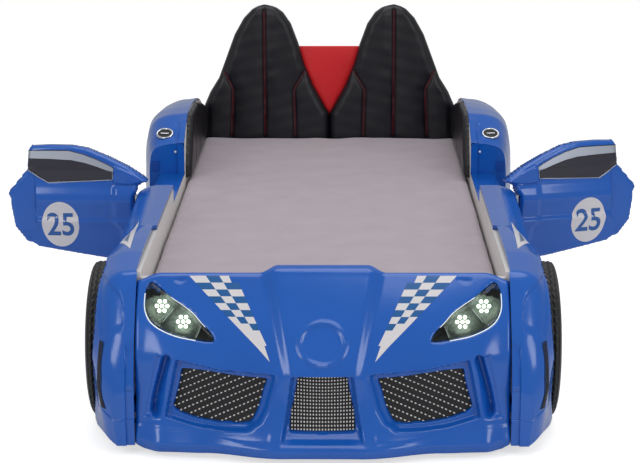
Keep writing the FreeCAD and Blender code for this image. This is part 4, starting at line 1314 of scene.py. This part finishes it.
# ---------------------------------------------------------------- doors
HINGE_X, HINGE_Y = 568, -112
DOOR_FRONT = -106.5
DOOR_ANGLE = {"left": 88, "right": 73}
DOOR_INNER = 535
DOOR_SECTION = ((185, -13), (300, 4), (326, 13), (336, 4), (360, 8), (388, 14), (408, 11), (428, 4), (444, 1),
                (480, -1), (556, -12))
# Outlines on the closed door: distance behind its front edge, and height.
DOOR_RING = np.array((
    (2, 207), (1, 402), (-7, 418), (-9, 431), (-22, 438.5), (-40, 444), (-32, 453), (-10, 469), (18, 487),
    (56, 506), (85, 520), (105, 528), (140, 542), (185, 550), (250, 551), (304, 548), (311, 543), (315, 532),
    (318, 478), (377, 409), (378, 403), (371, 393), (371, 372), (367, 348), (360, 307), (341, 279),
    (330, 262), (320, 255), (311, 254), (294, 241), (106, 208), (12, 196), (4, 199)), float)
WINDOW_RING = np.array((
    (62, 452), (58, 484), (76, 496), (110, 512), (150, 527), (193, 538), (250, 538), (309, 537), (314, 532),
    (319, 478), (256, 441), (66, 450)), float)
SAIL_RING = np.array(((-36, 446), (-6, 464), (52, 490), (60, 470), (62, 441), (6, 438)), float)
BAND_LOW = ((58, 474), (77, 478), (110, 490), (145, 501), (186, 509), (250, 512), (319, 513))
BAND_TOP = ((58, 483), (76, 494), (110, 510), (150, 525), (193, 535.5), (250, 535.5), (310, 534.5))
WINDOW_CORNERS = ((62.4, 480), (62.6, 450.5), (256, 441.5), (319, 478))    # along its lower, bright edge
DISC_PLACE, DISC_HALF = (222, 314.5), (56, 71)
REAR_FOLD = 296                      # where the door's bulge ends, measured from its front edge
DOOR_STEP = 3.4


def door_reach(s, z):
    """Outward place of the door's skin from the hinge line, closed."""
    reach = soft_line([row[0] for row in DOOR_SECTION], [row[1] for row in DOOR_SECTION], z, 4)
    flat = soft_line((185, 300, 556), (-13, 4, -12), z, 4)
    rear = smooth(s, REAR_FOLD - 3, REAR_FOLD + 3) * (1 - smooth(z, 470, 490))
    reach = reach * (1 - rear) + (flat + 9 * smooth(s, REAR_FOLD, 379)) * rear
    reach = reach + 5 * np.sin(np.clip(s / 379, 0, 1) * math.pi)
    fold = np.interp(z, (190, 300, 325, 420, 452, 490), (34, 40, 62, 58, 60, 60))
    hump = (1 - smooth(s, fold - 9, fold + 9)) * smooth(z, 200, 280) * (1 - smooth(z, 425, 437))
    sail = 1 - smooth(outline_distance(SAIL_RING, s, z), -2, 2)
    return reach + 6 * hump + 6 * sail


def door_distance(s, z):
    return outline_distance(DOOR_RING, s, z)


def window_distance(s, z):
    return outline_distance(WINDOW_RING, s, z)


def door_skin(s, z):
    inside = np.clip(-door_distance(s, z), 0, 9)
    edge = 9 * (1 - np.sqrt(1 - (1 - inside / 9) ** 2))
    pane = 3 * (1 - smooth(window_distance(s, z), -1.5, 1.0))
    return HINGE_X + door_reach(s, z) - edge - pane


def swing(piece, side, angle):
    """Put a piece of the closed right door on its side and open it."""
    points = points_of(piece) / MM
    turn = -math.radians(angle)
    dx, dy = points[:, 0] - HINGE_X, points[:, 1] - HINGE_Y
    x = HINGE_X + dx * math.cos(turn) - dy * math.sin(turn)
    y = HINGE_Y + dx * math.sin(turn) + dy * math.cos(turn)
    put_points(piece, np.stack([side * x, y, points[:, 2]], 1) * MM)
    if side < 0:
        flip(piece)


def on_door(s, z, lift):
    """Points (mm) on the closed door's skin, lifted off it."""
    return np.stack([door_skin(s, z) + lift, DOOR_FRONT + s, z], 1)


def door_sheet(name, s0, s1, z0, z1, keep, snaps, lift=0.0):
    """Sheet over part of the closed door, kept where keep(s, z) is negative."""
    columns, rows = int((s1 - s0) / DOOR_STEP), int((z1 - z0) / DOOR_STEP)
    piece = grid(name, columns, rows)
    uv = points_of(piece)
    s, z = s0 + (s1 - s0) * uv[:, 0], z0 + (z1 - z0) * uv[:, 1]
    for distance, level in snaps:
        snap(s, z, distance, level, DOOR_STEP * 0.52)
    put_points(piece, on_door(s, z, lift) * MM)
    drop_faces(piece, lambda c: keep(c[:, 1] - DOOR_FRONT, c[:, 2]) > 0.3)
    return piece


def band_shape(u, v):
    """Silver band along the window's top."""
    s = 60 + u * 253
    top = np.interp(s, [row[0] for row in BAND_TOP], [row[1] for row in BAND_TOP])
    low = np.interp(s, [row[0] for row in BAND_LOW], [row[1] for row in BAND_LOW])
    return on_door(s, low + (top - low) * v, 1.9).T


def disc_shape(u, v):
    """White disc behind the number."""
    angle = u * 2 * math.pi
    s = DISC_PLACE[0] + DISC_HALF[0] * v * np.cos(angle)
    z = DISC_PLACE[1] + DISC_HALF[1] * v * np.sin(angle)
    return on_door(s, z, 0.6).T


def digits(text, size):
    """Flat number mesh centred on the origin, in the (x, y) plane, x and y in mm."""
    deselect()
    bpy.ops.object.text_add()
    label = bpy.context.object
    label.data.body = text
    label.data.size = size * MM
    label.data.resolution_u = 6
    label.data.offset = 0.0017
    bpy.ops.object.convert(target="MESH")
    label = bpy.context.object
    bpy.ops.object.mode_set(mode="EDIT")
    bpy.ops.mesh.select_all(action="SELECT")
    bpy.ops.mesh.quads_convert_to_tris()
    bpy.ops.mesh.subdivide(number_cuts=4)
    leave_edit()
    points = points_of(label) / MM
    centre = (points.max(0) + points.min(0)) / 2
    put_points(label, (points - centre) * MM)
    return label


def make_door_pieces():
    """The closed right door's skin, window pane, window edge, band and disc."""
    skin = door_sheet("door_skin", -43, 381, 188, 553, door_distance,
                      ((door_distance, 0.0), (window_distance, 0.6), (window_distance, -1.6)))
    drop_faces(skin, lambda c: window_distance(c[:, 1] - DOOR_FRONT, c[:, 2]) < -3)
    extrude_rim(skin, lambda p: window_distance(p[:, 1] - DOOR_FRONT, p[:, 2]) > 4,
                lambda p: at_x(p, DOOR_INNER))
    clean(skin, 42, (1, 0, 0))
    thicken(skin, 2.5)
    pane = door_sheet("window_pane", 55, 322, 438, 541, window_distance, ((window_distance, -0.5),), 1.2)
    clean(pane, 42, (1, 0, 0))
    thicken(pane, 2.5)

    band = lay("window_band", 60, 6, band_shape)
    clean(band, 42, (1, 0, 0))
    disc = lay("number_disc", 72, 12, disc_shape)
    clean(disc, 42, (1, 0, 0))
    s = np.concatenate([np.linspace(319, 256, 10), np.linspace(252, 66, 26), np.full(4, 62.5)])
    z = np.interp(s, [row[0] for row in WINDOW_CORNERS], [row[1] for row in WINDOW_CORNERS])
    z[-4:] = (451, 460, 470, 480)
    # The silver strand along the window's lower edge stands for the highlight on its blue lip: a painted
    # highlight.
    edge = strands("window_edge", [on_door(s, z, 2.0)], 1.2)
    return {"door_skin": (skin, ABS_BLUE, "abs_blue", "door_shell_"),
            "window_edge": (edge, SILVER_FILM, None, None),
            "window_pane": (pane, DARK_FILM, "window_film", "window_panel_"),
            "window_band": (band, SILVER_FILM, None, None),
            "number_disc": (disc, WHITE_FILM, None, None)}


def place_digits(side):
    label = digits("25", 96)
    points = points_of(label) / MM
    s = DISC_PLACE[0] + side * points[:, 0] * 0.9
    z = DISC_PLACE[1] + points[:, 1] * 1.02
    put_points(label, on_door(s, z, 1.0) * MM)
    clean(label, 40, (1, 0, 0))
    return label


def make_doors():
    pieces = make_door_pieces()
    for side, word in SIDES:
        for label, (piece, material, slot, node) in pieces.items():
            activate(piece)
            bpy.ops.object.duplicate()
            copy = bpy.context.object
            copy.name = "%s_%s" % (label, word)
            swing(copy, side, DOOR_ANGLE[word])
            dress(copy, material, [node + word] if node else (), "door_" + word)
        number = place_digits(side)
        number.name = "door_number_" + word
        swing(number, side, DOOR_ANGLE[word])
        dress(number, NUMBER_FILM, (), "door_" + word)
    for piece, _, _, _ in pieces.values():
        bpy.data.objects.remove(piece)


# ---------------------------------------------------------------- soft pieces
# Reach of the backrest's inner and outer sides from its middle, and height.
BELL_INNER = ((228.7, 335), (228.7, 432), (202, 482), (172, 536), (143, 606), (121, 682), (94, 755),
              (66, 796), (42, 813), (20, 820))
BELL_OUTER = ((218, 335), (218, 462), (196, 512), (164, 563), (133, 646), (106, 718), (73, 776), (42, 808),
              (20, 819))
BELL_FOOT = 335
BELL_X, BELL_TOP = 229, 822
PAD_FACE, PAD_BACK = 1003, 1045


def bell_sides(z):
    inner = soft_line([p[1] for p in BELL_INNER] + [BELL_TOP], [p[0] for p in BELL_INNER] + [0], z, 4)
    outer = soft_line([p[1] for p in BELL_OUTER] + [BELL_TOP], [p[0] for p in BELL_OUTER] + [0], z, 4)
    return BELL_X - inner, BELL_X + outer


def seam_x(z):
    """x of the three sewn channels of the right backrest at height z."""
    inner = soft_line((350, 400, 523, 588, 600), (122, 122, 126, 86, 78), z, 16)
    outer = soft_line((350, 400, 523, 588, 600), (349, 347, 341, 373, 380), z, 16)
    return inner, BELL_X + 0 * z, outer


def backrest_face(x, z):
    """Depth of the upholstered face."""
    low, high = bell_sides(z)
    reach = np.clip(np.minimum(x - low, high - x), 0, None)
    reach = np.minimum(reach, np.clip((BELL_TOP - z) * 0.9, 0, None))
    edge = np.clip(reach / 34, 0, 1)
    y = PAD_FACE + 30 * (1 - np.sqrt(1 - (1 - edge) ** 2))
    for seam in seam_x(z):
        gap = np.abs(x - seam)
        y = y + (8 * np.exp(-(gap / 6) ** 2) + 6 * np.exp(-(gap / 28) ** 2)) * smooth(reach, 0, 22)
    crease = np.sin(z * 0.055 + x * 0.013) * np.sin(x * 0.05 + 1.3) + 0.5 * np.sin(z * 0.13 + x * 0.03)
    return y + 0.7 * crease * smooth(reach, 4, 30)


def make_backrests():
    def shape(u, v):
        z = BELL_FOOT + (BELL_TOP - BELL_FOOT) * (1 - (1 - v) ** 1.15)
        low, high = bell_sides(z)
        front = u < 0.7
        t = np.where(front, u / 0.7, (1 - u) / 0.3)
        x = low + (high - low) * t
        reach = np.minimum(np.clip(np.minimum(x - low, high - x), 0, None), 10)
        back = PAD_BACK - 6 * (1 - np.sqrt(1 - (1 - reach / 10) ** 2))
        return x, np.where(front, backrest_face(x, z), back), z
    piece = lay("backrest_pad_right", 170, 150, shape)
    clean(piece, 60)
    dress(piece, BLACK_LEATHER, ["backrest_right"])
    twin = dress(mirrored(piece, "backrest_pad_left"), BLACK_LEATHER, ["backrest_left"])
    rows = []
    for index in range(3):
        for off in (-2.8, 2.8):
            top = 800 if index == 1 else 588
            z = np.arange(358, top, 8.0)
            for at in z:
                ends = np.array([at, at + 2.5, at + 5.2])
                x = seam_x(ends)[index] + off
                y = backrest_face(x, ends) - 0.4
                rows.append(np.stack([x, y, ends], 1))
    thread = strands("backrest_stitches_right", rows, 0.6)
    dress(thread, RED_THREAD)
    dress(mirrored(thread, "backrest_stitches_left"), RED_THREAD)


SIDE_PAD_RING = np.array(((302, 362), (306, 400), (330, 440), (372, 505), (398, 540), (420, 545), (672, 542),
                          (860, 505), (996, 470), (998, 362)), float)
PAD_SEAMS = (480, 640, 800)
PAD_BACKING = 454.5                  # x of the pad's back, beside the side board


def side_pad_face(y, z):
    inside = np.clip(-outline_distance(SIDE_PAD_RING, y, z), 0, 20)
    edge = 16 * (1 - np.sqrt(1 - (1 - inside / 20) ** 2))
    x = 434 + edge
    for seam in PAD_SEAMS:
        x = x + 3.5 * np.exp(-((y - seam) / 7) ** 2) * smooth(inside, 0, 12)
    return x + 0.6 * np.sin(y * 0.05) * np.sin(z * 0.06 + 0.4) * smooth(inside, 2, 14)


def make_side_pads():
    piece = grid("side_pad_cushion_right", 140, 40)
    uv = points_of(piece)
    y, z = 298 + 704 * uv[:, 0], 360 + 188 * uv[:, 1]
    snap(y, z, lambda a, b: outline_distance(SIDE_PAD_RING, a, b), 0, 3.0)
    put_points(piece, np.stack([side_pad_face(y, z), y, z], 1) * MM)
    drop_faces(piece, lambda c: outline_distance(SIDE_PAD_RING, c[:, 1], c[:, 2]) > 0.5)
    extrude_rim(piece, lambda p: p[:, 0] > 0, lambda p: at_x(p, PAD_BACKING))
    activate(piece)
    bpy.ops.object.mode_set(mode="EDIT")
    bpy.ops.mesh.select_all(action="DESELECT")
    bpy.ops.mesh.select_non_manifold()
    bpy.ops.mesh.edge_face_add()
    leave_edit()
    clean(piece, 55)
    dress(piece, BLACK_LEATHER, ["side_pad_right"])
    twin = dress(mirrored(piece, "side_pad_cushion_left"), BLACK_LEATHER, ["side_pad_left"])
    rows = []
    for seam in PAD_SEAMS:
        for off in (-3, 3):
            for at in np.arange(372, 528, 8.0):
                z = np.array([at, at + 5.0])
                y = np.full(2, seam + off, float)
                rows.append(np.stack([side_pad_face(y, z) - 0.3, y, z], 1))
    thread = strands("side_pad_stitches_right", rows, 0.45)
    dress(thread, RED_THREAD)
    dress(mirrored(thread, "side_pad_stitches_left"), RED_THREAD)


def make_mattress():
    low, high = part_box("mattress")
    deselect()
    bpy.ops.mesh.primitive_cube_add(size=1, location=[(a + b) / 2 for a, b in zip(low, high)])
    piece = bpy.context.object
    piece.name = "mattress_in_sheet"
    piece.scale = [b - a for a, b in zip(low, high)]
    bpy.ops.object.transform_apply(location=True, rotation=True, scale=True)
    apply_modifier(piece, "BEVEL", width=0.015, segments=5)
    apply_modifier(piece, "REMESH", mode="VOXEL", voxel_size=0.0125)
    points = points_of(piece) / MM
    x, y, z = points.T
    top = smooth(z, 300, 352)
    inward = np.minimum(449 - np.abs(x), 999 - np.abs(y))
    near_edge = np.exp(-np.clip(inward, 0, None) / 85)
    fan = np.sin((x * 0.30 + y * 0.95) * 0.085 + 2.2 * np.sin(x * 0.012))
    cross = np.sin((y - x * 0.55) * 0.045 + 1.7 * np.sin(y * 0.006)) * np.sin(x * 0.011 + 0.8)
    ripple = 1.5 * fan * near_edge + 1.1 * cross + 0.8 * np.sin(x * 0.02 + 1.0) * np.sin(y * 0.017)
    big = np.sin((x + y * 0.8) * 0.0062 + 0.6) * np.sin((x * 0.6 - y) * 0.0048 + 1.2)
    pull = np.sin((y - 0.35 * x) * 0.10 + 1.3 * np.sin(x * 0.02)) * np.exp(-np.clip(inward, 0, None) / 30)
    z = z + top * (ripple + 2.6 * big + 0.9 * pull - 2.5 - 1.5 * near_edge**2)
    put_points(piece, np.stack([x, y, z], 1) * MM)
    clean(piece, 60)
    dress(piece, SHEET, ["mattress"])


# ---------------------------------------------------------------- boards and small parts
def softened(node, name, width, material, body=BODY):
    """A copy of a board's mesh with its edges eased."""
    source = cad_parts[node]
    copy = bpy.data.objects.new(name, source.data.copy())
    bpy.context.scene.collection.objects.link(copy)
    activate(copy)
    bpy.ops.object.mode_set(mode="EDIT")
    bpy.ops.mesh.select_all(action="SELECT")
    bpy.ops.mesh.remove_doubles(threshold=0.00002)
    bpy.ops.mesh.dissolve_limited(angle_limit=math.radians(1))
    leave_edit()
    apply_modifier(copy, "BEVEL", width=width * MM, segments=2, limit_method="ANGLE")
    activate(copy)
    bpy.ops.object.shade_smooth_by_angle(angle=math.radians(35))
    return dress(copy, material, [node], body)


def make_boards():
    for word in ("left", "right"):
        softened("side_board_" + word, "side_panel_" + word, 0.8, WHITE_BOARD)
        softened("sill_" + word, "door_sill_" + word, 3, ABS_BLUE)
        softened("seat_board_" + word, "backrest_board_" + word, 1, PLYWOOD)
    softened("headboard", "head_panel", 0.8, WHITE_BOARD)
    softened("foot_board", "foot_panel", 0.8, WHITE_BOARD)
    softened("centre_panel", "red_centre_panel", 3, RED_LEATHER)
    softened("slats", "bed_slats", 1, BEECH)


CARRIED = (
    (BEECH, ("slat_rails", "centre_beam", "centre_leg")),
    (BLACK_PLASTIC, ("centre_foot", "floor_glides", "control_box", "power_inlet")),
    (ZINC, ("corner_brackets", "bracket_bolts", "hinge_pins", "hinge_body_leaf_left", "hinge_body_leaf_right",
            "hinge_door_leaf_left", "hinge_door_leaf_right")),
    (PLYWOOD, ("nose_ribs", "door_board_left", "door_board_right")),
    # The door catches take the darker blue copy, whose painted shade lets them sink into the shade of the
    # jamb.
    (ABS_BLUE_SHADED, ("door_catches",)))


def dress_carried():
    """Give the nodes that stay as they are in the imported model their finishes."""
    for material, names in CARRIED:
        for name in names:
            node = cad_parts[name]
            node.data.materials.clear()
            node.data.materials.append(material)


# ---------------------------------------------------------------- stage
def make_stage():
    deselect()
    bpy.ops.mesh.primitive_plane_add(size=40)
    floor = bpy.context.object
    floor.name = "floor"
    material, tree, shader, place = new_material("studio_floor")
    cloud = add(tree, "ShaderNodeTexNoise", {"Vector": place, "Scale": 0.4})
    paint(tree, shader, cloud.outputs["Fac"], "#F6F6F6", "#F9F9F9")
    seen = add(tree, "ShaderNodeLightPath").outputs["Is Camera Ray"]
    tree.links.new(add(tree, "ShaderNodeMath", {0: seen, 1: 0.6}, operation="MULTIPLY").outputs[0],
                   shader.inputs["Emission Strength"])
    set_shader(shader, Roughness=0.95, Specular_IOR_Level=0.0, Emission_Color=linear("#FFFFFF"))
    floor.data.materials.append(material)
    scene = bpy.context.scene
    scene.view_settings.view_transform = "Standard"
    world = bpy.data.worlds.new("studio")
    scene.world = world
    world.use_nodes = True
    tree = world.node_tree
    backdrop = tree.nodes["Background"]
    seen = add(tree, "ShaderNodeLightPath").outputs["Is Camera Ray"]
    level = add(tree, "ShaderNodeMapRange", {"Value": seen, "To Min": 0.42, "To Max": 1.0})
    tree.links.new(level.outputs["Result"], backdrop.inputs["Strength"])
    backdrop.inputs["Color"].default_value = (1, 1, 1, 1)
    soft_box("overhead", (0.2, -0.3, 3.4), (0, -0.1, 0.3), (2.6, 3.0), 46)
    soft_box("front_left", (-2.4, -3.6, 2.3), (-0.2, -0.9, 0.3), (1.1, 1.9), 27)
    soft_box("front_right", (2.6, -3.4, 2.0), (0.2, -0.9, 0.3), (1.1, 1.9), 25)


make_nose()
make_chequers()
make_grilles()
make_bowls()
make_lenses()
make_lamp_rims()
make_diodes()
make_wings()
make_badges()
make_jamb_screws()
for place, axle in (("front", FRONT_AXLE), ("rear", REAR_AXLE)):
    make_wheel(place, axle)
make_doors()
make_backrests()
make_side_pads()
make_mattress()
make_boards()
dress_carried()
make_stage()
make_camera()
